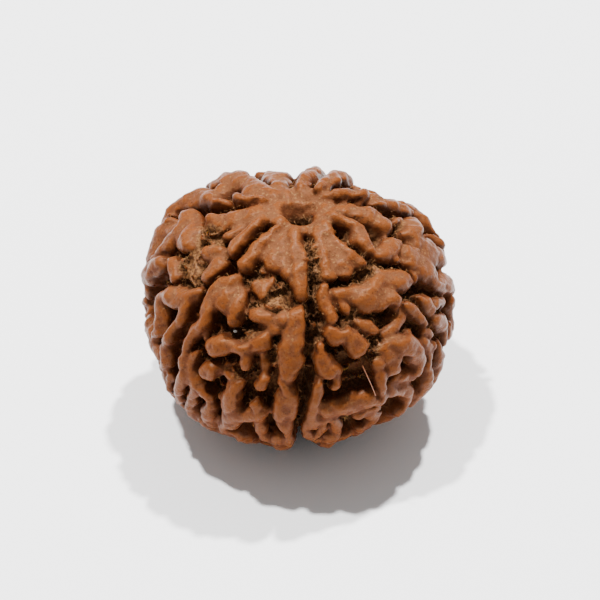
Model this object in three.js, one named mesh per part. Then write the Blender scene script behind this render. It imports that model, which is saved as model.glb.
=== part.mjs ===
// A rudraksha seed: the ridged, woody stone of a small tree fruit, with seven faces.
// Units are millimetres, +Z is up. The origin is the middle of the flat spot that it rests on.
// The stone grew as one piece, so it is one closed solid: a flattened ball whose ridges are
// raised by a formula. A ridge is a stroke along the surface, read off by eye as a few points
// of longitude, latitude and half width. Longitude 0 is the front (-Y) and grows towards +X.

import * as THREE from 'three';
import { mergeVertices } from 'three/addons/utils/BufferGeometryUtils.js';

// Driving dimensions of the whole stone.
const WIDTH = 25.2;             // across the ridge tops, where the stone is widest
const FULL_HEIGHT = 21.0;       // pole to pole over the ridge tops, before the flat spot
const FLAT_TRIM = 0.45;         // how much of the lower pole the flat spot takes off
const FLOOR_DEPTH = 2.3;        // ridge tops down to the bottom of the crevices

// Ridges.
const EDGE_ROUND = 0.56;        // radius that the edge of a broad ridge is rounded to
const EDGE_SHARE = 0.9;         // most of a narrow ridge's half width that is rounded
const ROOT_FLARE = 0.3;         // how much further a ridge reaches at its root than at its top
const CROWNING = 0.36;          // how far a ridge's edges lie below its middle, per half width
const CROWNED_HALF = 1.0;       // a broader ridge is crowned like one of this half width
const RIDGE_FILLET = 0.28;      // size of the hollow where two ridges meet
const FLOOR_FILLET = 0.5;       // size of the hollow at a ridge's foot
const OUTLINE_WAVE = 0.18;      // how far a ridge's outline wanders
const KNOB = 0.3;               // height of the rounded knobs on the ridge tops
const KNOB_SOFTENING = 0.3;     // rounds the valleys between the knobs, in heights of a knob
const KNOB_MIDDLE = 0.5;        // the height, in the same units, that lies on the spheroid
const BODY_WAVE = 0.1;          // how far the whole stone is from a true spheroid
const BROADEN = 0.06;           // added to the half width of every ridge
const LOW_WEB = 1.0;            // height of the low walls on the crevice floor
const WEB_NARROWNESS = 2.2;     // the larger, the narrower those walls
const REACH = 2.6;              // a ridge further away than this adds nothing

// The stalk pit in the upper pole, its sloping mouth, the dimple around it and the pit below.
const PIT = { x: 0.25, y: -0.4, radius: 1.15, depth: 4.0, taper: 0.15, rim: 0.6 };
const MOUTH = { x: 0.25, y: 0.15, radius: 1.8, depth: 1.8, taper: 0.95, rim: 0.5 };
const DIMPLE = { depth: 0.35, reach: 2.8 };
const LOWER_PIT = { radius: 0.75, depth: 1.3, taper: 0.2, rim: 0.3 };

// Where the stone swells over the spheroid or falls short of it, as its outline shows. Each row
// is [longitude, latitude, reach, rise].
const SWELLS = [
  [-121, 31, 3, 0.9], [-108, 20, 3, 0.2], [-45, -31, 4, 0.45], [62, -22, 3.6, 0.55],
  [0, -40, 7, 0.35], [104, 14, 3.5, 0.25], [138, 39, 2.6, -1.3], [159, 34, 2.4, -0.9],
  [-179, 42, 1.5, -1.2], [-146, 44, 2.2, 0.5], [122, 30, 2.4, 0.5],
  [-126.7, 56.5, 0.8, -1.9],
];

// Pockets where pulp and low tissue fill the crevices. Each row is as in SWELLS.
const FILLS = [
  [-74.8, 56.4, 1.3, 1.0], [-87, 53, 1.3, 0.9], [-73.6, 42, 1.7, 1.1], [-60.6, 40, 1.3, 0.9],
  [-11, 47.9, 1.4, 1.0], [-14, 43.7, 1.1, 1.0], [-27, 56, 1.2, 0.7], [49.9, 52.4, 1.6, 1.0],
  [12, 62.4, 0.9, 0.8], [18.6, 70.4, 0.9, 0.8], [99, 47.5, 1.1, 0.8], [-19.8, 30.6, 1.0, 0.9],
  [9.8, 65, 1.1, 1.0], [10.3, 59, 1.0, 0.8], [8, 51, 1.0, 0.7], [26, 39.4, 1.6, 0.8],
  [34, 20, 1.3, 0.9], [-8, 24, 1.2, 0.9], [-23.7, 14, 1.4, 0.7],
];

// The seams between the faces.
const SEAM = { half: 0.2, below: 0.6, fillet: 0.35 };

// Facets.
const FINE_FACETS_PER_EDGE = 72; // each edge of the first ball's icosahedron is cut into this many
const FACETS = 11600;           // how many are left when the ones that matter least are merged
const HIDDEN_DEPTH = 1.2;       // crevice walls and floors deeper than this are merged sooner
const HIDDEN_WEIGHT = 0.08;     // what a miss there counts, against one on the ridges
const LEAST_FACING = 0.03;      // how far a facet must at least face away from the middle
const LEAST_SHAPE = 0.12;       // the thinnest facet allowed, as height over length
const LENGTH_COST = 1e-5;       // makes a short edge go first where two are missed as little
const FARTHEST_MERGE = 1.5;     // a merged corner stays within this many edge lengths
const NEARLY_FLAT = 1e-4;       // below this a surface has no corner that fits best

const RIM = WIDTH / 2;
const POLE = FULL_HEIGHT / 2;
const CENTRE_HEIGHT = POLE - FLAT_TRIM;

// Ridges of the front left face. Each row is [how far its top is sunk, then its points].
const FRONT_LEFT = [
  [0, [-39.5, 49.6, 0.72], [-43.5, 46, 0.9], [-45, 40, 0.8], [-44.5, 34, 0.7], [-44.5, 28, 0.75],
    [-46.5, 21, 0.5], [-47.3, 14, 0.42], [-47, 7, 0.45], [-47, 0, 0.5], [-50, -8, 0.6],
    [-53, -17, 0.6], [-55, -26, 0.6]],
  [0, [-41, 43.5, 1.1], [-35.6, 42.4, 1.35], [-32.4, 39.4, 1.15], [-31.4, 35.8, 0.75]],
  [0.75, [-43, 27, 0.8], [-40.5, 23, 0.6]],
  [0, [-35, 22, 0.75], [-31, 23.2, 0.7], [-26, 25.4, 0.55], [-21, 27, 0.65],
    [-16.5, 30.5, 0.75], [-13, 32, 0.75]],
  [0.1, [-21, 25, 0.6], [-20.5, 20, 0.5], [-20.5, 17, 0.42]],
  [0.8, [-16, 26, 0.6], [-13.5, 20, 0.45], [-13.5, 15, 0.4]],
  [0.15, [-13.4, 13, 0.5], [-14, 9.6, 0.45]],
  [0.1, [-21, 40.2, 0.4], [-16, 40.2, 0.58], [-11, 39.4, 0.8], [-7.5, 40, 0.7]],
  [0.1, [-11.5, 37.4, 0.6], [-9.4, 35, 0.6]],
  [0, [-0.6, 42.2, 0.82], [-0.2, 39, 1.0], [-1, 35, 0.9], [-2.2, 30, 0.85], [-2.9, 25, 1.0],
    [-3.2, 20, 1.0], [-3.2, 17.5, 0.75]],
  [0, [-5, 13.5, 0.4], [-3.5, 9, 0.75], [-3.5, 3, 1.05], [-4.5, -3, 1.05], [-4.7, -9, 0.85],
    [-3.8, -14, 0.6], [-3, -20, 0.45], [-3, -28, 0.45]],
  [0.05, [-37, 8, 0.8], [-34.8, 11.5, 0.75]],
  [0.6, [-34, 11, 0.6], [-29, 11, 0.5], [-25.5, 9.5, 0.45]],
  [0.25, [-41.5, 15.5, 0.3], [-43.3, 10.5, 0.38], [-43.7, 4, 0.45], [-42, -1, 0.6]],
  [0.2, [-45, 0, 0.6], [-41, -3, 0.65], [-37.5, -4.5, 0.4]],
  [0.25, [-37.5, -2.5, 0.28], [-34.5, -7, 0.35], [-35, -13, 0.5], [-37, -20, 0.6], [-38, -28, 0.6]],
  [0.2, [-42, -6, 0.5], [-43.5, -13, 0.6], [-46, -22, 0.6], [-46, -30, 0.5]],
  [0, [-22.5, 6.5, 0.5], [-24, 2, 0.92], [-25, -4, 1.0], [-24.5, -10, 1.1], [-26, -17, 0.8]],
  [0, [-21, -9, 1.0], [-17, -8, 0.95], [-13.8, -5, 0.8], [-13.8, -0.5, 0.35]],
  [0.2, [-28, -17, 0.6], [-31, -24, 0.6], [-30, -32, 0.5]],
  [0.35, [-15, -13, 0.45], [-14.5, -20, 0.5], [-12, -27, 0.6], [-7, -31, 0.6]],
  [0.35, [-26, 52, 0.5], [-22.3, 51.2, 0.88], [-19.6, 48.6, 0.55]],
  [0.75, [-18.3, 56.3, 0.18], [-18.9, 53.6, 0.3]],
];

// Ridges of the front right face.
const FRONT_RIGHT = [
  [0, [16.3, 52, 0.4], [14.8, 48, 0.6], [14.8, 43, 0.62], [15.3, 40, 0.45]],
  [0.15, [21.8, 48, 0.5], [23, 45, 0.45], [24.4, 41.8, 0.38]],
  [0, [22.5, 48.5, 0.55], [27, 47.2, 0.7], [33, 45.2, 0.95], [39, 42, 1.25], [44, 40.4, 1.3],
    [48, 39.5, 1.05]],
  [0, [49, 37.5, 0.85], [51, 35.4, 0.7]],
  [0.1, [46, 45, 0.75], [52, 45, 0.85], [58, 42, 0.95], [64, 39, 1.0], [68, 37, 0.7]],
  [0.55, [29, 35, 0.5], [32.5, 32.5, 0.75], [36.5, 29, 0.55]],
  [0.05, [14.2, 34.6, 0.66], [18, 32, 0.88]],
  [0.1, [21.8, 33, 0.55], [24, 29, 0.85], [25.2, 24.4, 1.0]],
  [0.05, [10.3, 28.4, 0.3], [10, 25, 0.6], [9.8, 21, 0.85], [10.6, 17, 0.8]],
  [0.35, [13.3, 19, 0.65], [14.3, 14, 0.62], [14.3, 10, 0.55]],
  [0, [7.5, 12.5, 0.32], [7.6, 6, 0.45], [7, 0, 0.5], [6.2, -6, 0.5], [5.8, -12, 0.42]],
  [0.25, [2.5, -9, 0.35], [3.5, -17, 0.45], [6.5, -23, 0.5], [9.5, -17, 0.4], [10, -10, 0.35]],
  [0.1, [11, -3, 0.8], [17, -3.8, 1.1], [23, -3.4, 1.25], [28, -3.8, 1.05], [32, -5.4, 0.6]],
  [0.35, [24, -12.5, 0.65], [29, -13.5, 0.75], [33, -12.5, 0.5]],
  [0.3, [31, -17, 0.5], [33, -24, 0.6], [33, -31, 0.5]],
  [0, [38, 17.5, 1.0], [39, 13, 1.15], [38.5, 9.5, 0.95]],
  [0.1, [33.5, 14, 0.55], [32.6, 9, 0.55], [32.2, 4, 0.36], [32.6, -1, 0.32], [33.8, -6, 0.36]],
  [0, [41.5, 19.8, 0.65], [47.3, 16, 0.9], [51.3, 10, 1.0], [52.2, 4, 0.95], [50.6, -1, 0.7]],
  [0.6, [37, -1.5, 0.5], [42, -1.4, 0.8], [47, -3, 0.9], [50, -6, 0.65]],
  [0.35, [36, -4.5, 0.45], [40, -6.5, 0.6], [45, -9, 0.7], [49, -15, 0.7], [50, -23, 0.6]],
  [0.45, [39.5, 25, 0.5], [44.5, 25.8, 0.7], [50, 26.8, 0.75]],
  [0.05, [55.6, 30, 0.55], [57.2, 25, 0.78], [59, 20.4, 0.6], [60, 18, 0.4]],
  [0.2, [59, 14.4, 0.4], [61.4, 12, 0.5], [62.4, 9.4, 0.4]],
  [0.15, [57.4, 10, 0.45], [59, 5, 0.58], [58.6, 0, 0.42]],
  [0.1, [57, -3.5, 0.55], [58, -10, 0.7], [57, -18, 0.7], [55, -27, 0.6]],
  [0.3, [12.5, -10, 0.45], [15.5, -18, 0.55], [15, -26, 0.55], [9, -30, 0.5]],
];

// The hub round the stalk pit and the arms that run out from it all round the crown.
const CROWN = [
  [0.05, [-90, 87, 2.1], [90, 84, 1.9]],
  [0.25, [-4, 78.5, 0.45], [18, 78.5, 0.45]],
  [0.35, [110, 76, 0.8], [140, 77, 0.9], [170, 77, 0.9], [200, 77, 0.8], [225, 77, 0.7]],
  [0, [-36, 78, 0.5], [-38, 71, 0.75], [-40, 63, 0.85], [-40.2, 58.6, 0.78]],
  [0.28, [-20, 76, 1.1], [-20, 70, 1.6], [-17, 65, 1.45]],
  [0.02, [-5, 77, 0.6], [-0.5, 70, 0.75], [2, 62, 0.82], [3, 56, 0.8], [2.6, 51.4, 0.74]],
  [0.25, [-12.5, 63, 0.7], [-7, 59, 0.6]],
  [0.08, [34, 77, 0.5], [27, 70, 0.6], [22.5, 63, 0.7], [22, 58, 0.75]],
  [0.1, [47, 77, 0.5], [46, 70, 0.65], [46, 63, 0.85], [46.5, 58.4, 0.9], [46, 56.4, 0.75]],
  [0.28, [37, 74, 0.9], [35, 66, 1.4], [34.5, 61, 1.5], [34.5, 57.6, 1.0]],
  [-0.1, [75, 78, 0.5], [70.7, 71, 0.58], [66.5, 64.5, 0.7], [60.5, 58.4, 0.68]],
  [0.05, [61, 52.6, 0.6], [66, 51.6, 0.95], [73, 50.4, 0.85], [80, 48.6, 0.5]],
  [0.15, [70, 49.4, 0.7], [68, 46.6, 0.45]],
  [0.1, [92, 78, 0.7], [95, 71, 1.0], [98, 65, 1.3], [95, 60, 1.35], [90, 55.5, 1.1]],
  [-0.25, [127, 76, 0.5], [121, 73, 0.62], [118.6, 67.6, 0.68], [118.8, 61.4, 0.66]],
  [0, [110, 57, 0.6], [117, 53, 0.8], [114, 47.6, 0.6]],
  [0.15, [111, 47, 0.45], [114, 42, 0.45], [115, 36, 0.45]],
  [0.3, [103, 47.5, 0.45], [100, 50, 0.4]],
  [-0.4, [141, 76, 0.4], [146, 70, 0.66], [148.4, 63, 0.8], [149, 55, 0.9], [149, 48.6, 0.86]],
  [-0.1, [175, 76, 0.4], [172, 70, 0.66], [169.6, 63, 0.8], [168.4, 55, 0.88], [168, 48.6, 0.85]],
  [0.3, [-156, 79, 0.6], [-160, 71, 0.95], [-163, 63, 1.2], [-165, 56, 1.3], [-166, 50, 1.15]],
  [0, [-139, 75, 0.8], [-139, 67, 1.2], [-140, 59, 1.4], [-141, 51, 1.5], [-141, 45, 1.45]],
  [0.15, [-130, 78, 0.6], [-128, 71, 0.8], [-128, 65, 0.85]],
  [0.15, [-133, 56, 0.8], [-131, 50, 0.85]],
  [0.05, [-116, 56, 0.6], [-121.5, 48, 0.85], [-125, 41, 1.0], [-123, 33, 1.0], [-117, 26, 0.9]],
  [-0.25, [-111, 76, 0.4], [-112, 72, 0.48], [-113, 66, 0.5]],
  [0.1, [-80, 78, 0.8], [-85.5, 70, 1.35], [-90, 63, 1.15], [-96, 56, 0.8]],
  [0.2, [-72, 66, 0.8], [-69.2, 62.4, 0.7]],
  [-0.25, [-70, 77, 0.4], [-62, 73, 0.5], [-57, 67, 0.6], [-54, 62, 0.6], [-53, 59.4, 0.5]],
];

// What shows of the faces to the right and left of the front pair.
const RIGHT = [
  [0, [78, 43.4, 0.9], [78, 39, 1.35], [80, 33.5, 1.5], [81, 28, 1.3]],
  [0, [89, 40, 0.9], [92, 33, 1.4], [96, 26, 1.3], [99, 19.6, 1.0]],
  [0.05, [80, 22, 0.55], [86, 17, 0.85], [92, 11, 0.85], [97, 4, 0.8]],
  [0.1, [63.6, 27.5, 0.5], [66, 22.8, 0.8], [67.8, 19.2, 0.55]],
  [0.15, [68, 14.5, 0.5], [72, 9, 0.8], [75, 3, 0.7], [74, -4, 0.6]],
  [0.1, [63, 4, 0.5], [66, -4, 0.7], [68, -12, 0.7], [66, -22, 0.7]],
  [-0.1, [101, 41, 0.95], [93.5, 42, 1.0]],
  [0, [127, 37, 0.7], [121, 31, 0.85], [115, 26, 0.9], [108, 21, 0.75]],
  [0.25, [72, 18.6, 0.4], [75, 17, 0.5], [79, 13, 0.5]],
];
const LEFT = [
  [0, [-54.8, 51.4, 0.8], [-55.2, 46.4, 0.85]],
  [0.2, [-69, 51.2, 0.8], [-64.6, 53.6, 0.9], [-60.6, 55.8, 0.6]],
  [0.55, [-74, 47, 0.6], [-69, 43.6, 0.65], [-63.7, 40, 0.6]],
  [0.1, [-54.4, 38, 0.5], [-57.4, 33.4, 0.85], [-63, 29, 1.0], [-68, 26, 1.1], [-72, 21.6, 0.8]],
  [0.1, [-57, 31, 0.8], [-55.6, 26.4, 0.6], [-56, 22, 0.45]],
  [0.3, [-72, 20, 0.7], [-70, 14, 0.8], [-68, 8, 0.7], [-70, 2, 0.5]],
  [0.15, [-57, 18, 0.42], [-58.6, 12, 0.58], [-60, 5, 0.65], [-59, -2, 0.6], [-61, -12, 0.6],
    [-63, -22, 0.65]],
  [0.05, [-83, 35, 0.65], [-78, 34.6, 0.65], [-72.5, 34.3, 0.5]],
  [-0.3, [-86, 28.6, 0.65], [-89.6, 21.4, 1.0], [-93, 14.4, 0.95]],
  [0, [-106, 42.6, 0.95], [-100, 43.6, 1.15], [-92, 44.2, 1.15], [-84, 45.8, 0.85]],
  [0, [-111, 31, 0.8], [-108.4, 24.6, 1.0], [-105.4, 18.6, 0.85]],
  [0.3, [-97, 35, 0.55], [-95, 30, 0.6]],
];

// Ridges of one face's underside, for a face this wide whose middle is at longitude 0.
const UNDERSIDE_WIDTH = 51;
const UNDERSIDE = [
  [0.1, [-16, -26, 0.55], [-16, -34, 0.75], [-15, -43, 0.95], [-14, -52, 0.9], [-11, -62, 0.75],
    [-6, -72, 0.65], [0, -80, 0.6]],
  [0.15, [15, -24, 0.6], [16, -34, 0.85], [15, -44, 0.9], [15, -53, 0.75], [16, -60, 0.6],
    [14, -67, 0.5]],
  [0.25, [-3, -28, 0.5], [0, -36, 0.75], [1, -45, 0.65], [-1, -54, 0.45]],
  [0.35, [-14, -37, 0.5], [-7, -34, 0.5], [-2, -33, 0.5]],
  [0.35, [1, -46, 0.45], [8, -47, 0.5], [14, -46, 0.5]],
  [0.3, [15, -60, 0.5], [10, -70, 0.55], [2, -77, 0.5]],
];

// The boss at the lower pole, where the undersides meet and the stone rests.
const LOWER_BOSS = [
  [-0.3, [-90, -86, 2.5], [90, -86, 2.5]],
];

// The seven seams, from the crown to the underside, as [longitude, latitude] points.
const SEAMS = [
  [[9, 69], [10.5, 60], [8.5, 52], [5.5, 45], [4.8, 30], [4.4, 15], [3, 0], [1.4, -10],
    [0.4, -20], [1, -40], [4, -66]],
  [[51, 70], [52, 66], [52, 61], [52, 56], [57, 50], [64, 46], [69, 41], [66, 34], [61.6, 27],
    [62, 19], [64.6, 10], [62, -5], [61, -20], [60, -40], [58, -66]],
  [[107, 66], [107, 60], [109, 45], [110, 30], [108, 15], [107, 0], [108, -20], [109, -40],
    [108, -66]],
  [[159, 62], [158.8, 59], [158.6, 55], [158.6, 40], [160, 25], [162, 10], [160, -10], [159, -30],
    [160, -66]],
  [[206, 67], [207, 62], [207, 55], [207, 45], [209, 35], [211, 25], [212, 10], [213, -10], [211, -30],
    [210, -66]],
  [[256.6, 69], [255, 66], [250, 58], [247, 45], [248, 30], [250, 15], [252, 0], [254, -20],
    [256, -66]],
  [[313, 70], [313, 65], [312, 56], [311, 46], [311, 35], [309.6, 25], [309.4, 10], [309.6, 0],
    [307, -12], [304, -25], [306, -45], [308, -66]],
];

// A repeatable draw between 0 and 1.
function draw(index) {
  const value = Math.sin(index * 12.9898 + 78.233) * 43758.5453;
  return value - Math.floor(value);
}

// Smooth noise, about -1 to 1: waves that run in directions drawn by the seed.
const WAVES = 7;
const SLOWEST = 0.7;
const PACE_SPREAD = 0.6;
function makeNoise(seed, wavelength) {
  const waves = [];
  for (let i = 0; i < WAVES; i += 1) {
    const z = 2 * draw(seed + 4 * i) - 1;
    const turn = 2 * Math.PI * draw(seed + 4 * i + 1);
    const level = Math.sqrt(1 - z * z);
    const spread = SLOWEST + PACE_SPREAD * draw(seed + 4 * i + 2);
    const pace = (2 * Math.PI / wavelength) * spread;
    const phase = 2 * Math.PI * draw(seed + 4 * i + 3);
    waves.push([level * Math.cos(turn) * pace, level * Math.sin(turn) * pace, z * pace, phase]);
  }
  return (p) => {
    let sum = 0;
    for (const [x, y, z, phase] of waves) {
      sum += Math.sin(p[0] * x + p[1] * y + p[2] * z + phase);
    }
    return sum / Math.sqrt(2 * WAVES);
  };
}

const bodyNoise = makeNoise(11, 15);
const outlineNoise = makeNoise(101, 1.8);
const knobNoise = makeNoise(201, 3.3);
const floorNoise = makeNoise(301, 2.1);
const warpNoises = [makeNoise(401, 3.4), makeNoise(501, 3.4), makeNoise(601, 3.4)];

// A point of the spheroid over the ridge tops, with the stone's middle at the origin.
function onSpheroid(longitude, latitude) {
  const lon = THREE.MathUtils.degToRad(longitude);
  const lat = THREE.MathUtils.degToRad(latitude);
  const level = RIM * Math.cos(lat);
  return [level * Math.sin(lon), -level * Math.cos(lon), POLE * Math.sin(lat)];
}

function toSpheroid(p) {
  const size = Math.hypot(p[0] / RIM, p[1] / RIM, p[2] / POLE);
  return [p[0] / size, p[1] / size, p[2] / size];
}

// Copies a face's ridges to another face: turned, stretched, mirrored or stood on its head.
function borrow(rows, { from, to, stretch = 1, flip = null, lats = [-90, 90], lons = [-180, 180] }) {
  const copied = [];
  for (const [sunk, ...points] of rows) {
    const inLats = points.every(([, lat]) => lat >= lats[0] && lat <= lats[1]);
    const inLons = points.every(([lon]) => lon >= lons[0] && lon <= lons[1]);
    if (!inLats || !inLons) {
      continue;
    }
    const moved = points.map(([lon, lat, half]) => {
      const newLat = flip === null ? lat : flip - lat;
      return [to + (lon - from) * stretch, newLat, half];
    });
    copied.push([sunk, ...moved]);
  }
  return copied;
}

// The faces that the front hides carry the same kinds of ridge, copied from the front pair.
function allRows() {
  const rows = [...FRONT_LEFT, ...FRONT_RIGHT, ...CROWN, ...RIGHT, ...LEFT, ...LOWER_BOSS];
  rows.push(...borrow(FRONT_LEFT, { from: -22, to: 86, stretch: -0.8, lats: [-32, 9] }));
  rows.push(...borrow(FRONT_RIGHT, { from: 33, to: -84, stretch: -0.9, lats: [-31, 6] }));
  rows.push(...borrow(FRONT_RIGHT,
    { from: 60, to: 112, stretch: -0.95, lats: [-31, 53], lons: [33, 70] }));
  rows.push(...borrow(FRONT_LEFT, { from: -3, to: 170, stretch: 0.9, lats: [-32, 53] }));
  rows.push(...borrow(FRONT_RIGHT, { from: 20, to: 191, stretch: -1, lats: [-31, 40], lons: [5, 37] }));
  rows.push(...borrow(FRONT_RIGHT, { from: 5, to: 212, flip: 19, lats: [-31, 50] }));
  const faces = SEAMS.length;
  for (let face = 0; face < faces; face += 1) {
    const start = SEAMS[face].at(-1)[0];
    const end = face + 1 < faces ? SEAMS[face + 1].at(-1)[0] : SEAMS[0].at(-1)[0] + 360;
    const side = face % 2 === 0 ? 1 : -1;
    const stretch = side * (end - start) / UNDERSIDE_WIDTH;
    rows.push(...borrow(UNDERSIDE, { from: 0, to: (start + end) / 2, stretch }));
  }
  return rows;
}

// Cuts a stroke into short straight pieces that follow a smooth curve on the spheroid.
const PIECE_LENGTH = 1.0;
function cutStroke([sunk, ...points]) {
  const knots = points.map(([lon, lat, half]) => [...onSpheroid(lon, lat), half]);
  const first = knots[0].map((value, k) => 2 * value - knots[1][k]);
  const last = knots.at(-1).map((value, k) => 2 * value - knots.at(-2)[k]);
  const line = [first, ...knots, last];
  const stations = [];
  for (let i = 1; i < line.length - 2; i += 1) {
    const [a, b, c, d] = line.slice(i - 1, i + 3);
    const steps = Math.ceil(Math.hypot(c[0] - b[0], c[1] - b[1], c[2] - b[2]) / PIECE_LENGTH);
    for (let step = 0; step < steps; step += 1) {
      const t = step / steps;
      stations.push(b.map((value, k) => 0.5 * (2 * value + (c[k] - a[k]) * t
        + (2 * a[k] - 5 * value + 4 * c[k] - d[k]) * t * t
        + (3 * value - a[k] - 3 * c[k] + d[k]) * t * t * t)));
    }
  }
  stations.push(knots.at(-1));
  const placed = stations.map((s) => [...toSpheroid(s), s[3]]);
  return { sunk, stations: placed };
}

// How far a point of the spheroid is from a stroke's edge, and where it lies across its width.
function nearStroke(stroke, p) {
  let edge = Infinity;
  let across = 0;
  let half = 1;
  for (let i = 0; i + 1 < stroke.stations.length; i += 1) {
    const a = stroke.stations[i];
    const b = stroke.stations[i + 1];
    const run = [b[0] - a[0], b[1] - a[1], b[2] - a[2]];
    const to = [p[0] - a[0], p[1] - a[1], p[2] - a[2]];
    const length2 = run[0] ** 2 + run[1] ** 2 + run[2] ** 2;
    const share = (to[0] * run[0] + to[1] * run[1] + to[2] * run[2]) / length2;
    const t = Math.min(1, Math.max(0, share));
    const gap = Math.hypot(to[0] - run[0] * t, to[1] - run[1] * t, to[2] - run[2] * t);
    const width = a[3] + (b[3] - a[3]) * t;
    if (gap - width < edge) {
      edge = gap - width;
      across = gap / width;
      half = width;
    }
  }
  return { edge, across, half };
}

function smoothMin(a, b, size) {
  const share = Math.max(0, size - Math.abs(a - b)) / size;
  return Math.min(a, b) - share * share * size / 4;
}

// A ridge in section: a rounded slab that stands up from the floor, a little wider at its root.
function ridgeSection(edge, half, top, height) {
  const round = Math.min(EDGE_ROUND, EDGE_SHARE * half);
  const below = Math.min(1, Math.max(0, (top - round - height) / FLOOR_DEPTH));
  const x = edge + round - ROOT_FLARE * below;
  const y = height - (top - round);
  return Math.hypot(Math.max(x, 0), Math.max(y, 0)) + Math.min(Math.max(x, y), 0) - round;
}

const strokes = allRows().map(cutStroke);
const seams = SEAMS.map((path) => cutStroke([0, ...path.map((point) => [...point, SEAM.half])]));

// The sum of soft round bumps at a point of the spheroid.
function makeBumps(rows) {
  const bumps = rows.map(([lon, lat, reach, rise]) => ({ at: onSpheroid(lon, lat), reach, rise }));
  return (base) => bumps.reduce((sum, { at, reach, rise }) => {
    const away = Math.hypot(...base.map((value, k) => value - at[k]));
    return sum + rise * Math.exp(-((away / reach) ** 2));
  }, 0);
}

const swellRise = makeBumps(SWELLS);
const fillRise = makeBumps(FILLS);

// Everything about one direction from the middle that doesn't change with the height.
function readDirection(direction) {
  const base = toSpheroid(direction);
  const slope = Math.hypot(base[0] / RIM ** 2, base[1] / RIM ** 2, base[2] / POLE ** 2);
  const warped = base.map((value, k) => value + OUTLINE_WAVE * warpNoises[k](base));
  const axis = Math.hypot(base[0] - PIT.x, base[1] - PIT.y);
  const dimple = base[2] > 0 ? DIMPLE.depth * Math.exp(-((axis / DIMPLE.reach) ** 2)) : 0;
  const body = BODY_WAVE * bodyNoise(base) + swellRise(base) - dimple;
  const lift = body + KNOB * (Math.hypot(knobNoise(base), KNOB_SOFTENING) - KNOB_MIDDLE);
  const widen = BROADEN + OUTLINE_WAVE * outlineNoise(base);
  const near = [];
  for (const stroke of strokes) {
    const found = nearStroke(stroke, warped);
    if (found.edge < REACH) {
      const bend = CROWNING * Math.min(found.half, CROWNED_HALF) * Math.min(1, found.across) ** 2;
      near.push({ edge: found.edge - widen, half: found.half, top: lift - stroke.sunk - bend });
    }
  }
  let seam = Infinity;
  for (const stroke of seams) {
    seam = Math.min(seam, nearStroke(stroke, warped).edge);
  }
  const web = 1 - Math.min(1, WEB_NARROWNESS * Math.abs(floorNoise(base)));
  const floor = body - FLOOR_DEPTH + LOW_WEB * web * web + fillRise(base);
  return { base, slope, near, seam, floor };
}

// A pit down a pole: negative inside, its wall leaning in by its taper.
function pitField(pit, x, y, down) {
  const wall = Math.hypot(x, y) - (pit.radius - pit.taper * down);
  return Math.max(wall, down - pit.depth);
}

// Positive outside the stone and negative inside it, at a height over the spheroid.
function field(here, height) {
  let value = REACH;
  for (const ridge of here.near) {
    const section = ridgeSection(ridge.edge, ridge.half, ridge.top, height);
    value = smoothMin(value, section, RIDGE_FILLET);
  }
  value = smoothMin(value, height - here.floor, FLOOR_FILLET);
  const seamCut = Math.max(here.seam, here.floor - SEAM.below - height);
  value = -smoothMin(-value, seamCut, SEAM.fillet);
  const scale = 1 + height * here.slope;
  const [x, y, z] = here.base.map((coordinate) => coordinate * scale);
  const upper = pitField(PIT, x - PIT.x, y - PIT.y, POLE - DIMPLE.depth - z);
  value = -smoothMin(-value, upper, PIT.rim);
  const mouth = pitField(MOUTH, x - MOUTH.x, y - MOUTH.y, POLE - DIMPLE.depth - z);
  value = -smoothMin(-value, mouth, MOUTH.rim);
  const lower = pitField(LOWER_PIT, x, y, z + POLE);
  return -smoothMin(-value, lower, LOWER_PIT.rim);
}

// Comes in from outside along one direction until it meets the stone or the flat spot.
const START_HEIGHT = 1.6;
const LOWEST = -5.5;
const STEP = 0.08;
const HALVINGS = 12;
function surfacePoint(direction) {
  const here = readDirection(direction);
  let height = START_HEIGHT;
  while (field(here, height) > 0 && height > LOWEST) {
    height -= STEP;
  }
  let outside = height + STEP;
  let inside = height;
  for (let i = 0; i < HALVINGS; i += 1) {
    const middle = (outside + inside) / 2;
    if (field(here, middle) > 0) {
      outside = middle;
    } else {
      inside = middle;
    }
  }
  const scale = 1 + inside * here.slope;
  const toFlat = here.base[2] < 0 ? -CENTRE_HEIGHT / here.base[2] : Infinity;
  const share = Math.min(scale, toFlat);
  const [x, y, z] = here.base.map((coordinate) => coordinate * share);
  return { point: [x, y, z], flat: toFlat < scale, sunk: -inside };
}

// The raised ball, with many more facets than the finished stone needs.
const SAME_POINT = 1e-5;
function fineStone() {
  const ball = new THREE.IcosahedronGeometry(1, FINE_FACETS_PER_EDGE - 1);
  ball.deleteAttribute('normal');
  ball.deleteAttribute('uv');
  const merged = mergeVertices(ball, SAME_POINT);
  const { position } = merged.attributes;
  const points = [];
  for (let i = 0; i < position.count; i += 1) {
    points.push(surfacePoint([position.getX(i), position.getY(i), position.getZ(i)]));
  }
  const corners = merged.index.array;
  const faces = [];
  for (let i = 0; i < corners.length; i += 3) {
    faces.push([corners[i], corners[i + 1], corners[i + 2]]);
  }
  return { points, faces };
}

function minus(a, b) {
  return [a[0] - b[0], a[1] - b[1], a[2] - b[2]];
}

function cross(a, b) {
  return [a[1] * b[2] - a[2] * b[1], a[2] * b[0] - a[0] * b[2], a[0] * b[1] - a[1] * b[0]];
}

function dot(a, b) {
  return a[0] * b[0] + a[1] * b[1] + a[2] * b[2];
}

// The sum of squared distances to a set of planes, as the ten numbers of a symmetric form.
function planeForm(normal, offset, weight) {
  const [a, b, c] = normal;
  const d = offset;
  return [a * a, a * b, a * c, a * d, b * b, b * c, b * d, c * c, c * d, d * d]
    .map((value) => value * weight);
}

function formAt(q, [x, y, z]) {
  return q[0] * x * x + 2 * q[1] * x * y + 2 * q[2] * x * z + 2 * q[3] * x + q[4] * y * y
    + 2 * q[5] * y * z + 2 * q[6] * y + q[7] * z * z + 2 * q[8] * z + q[9];
}

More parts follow.
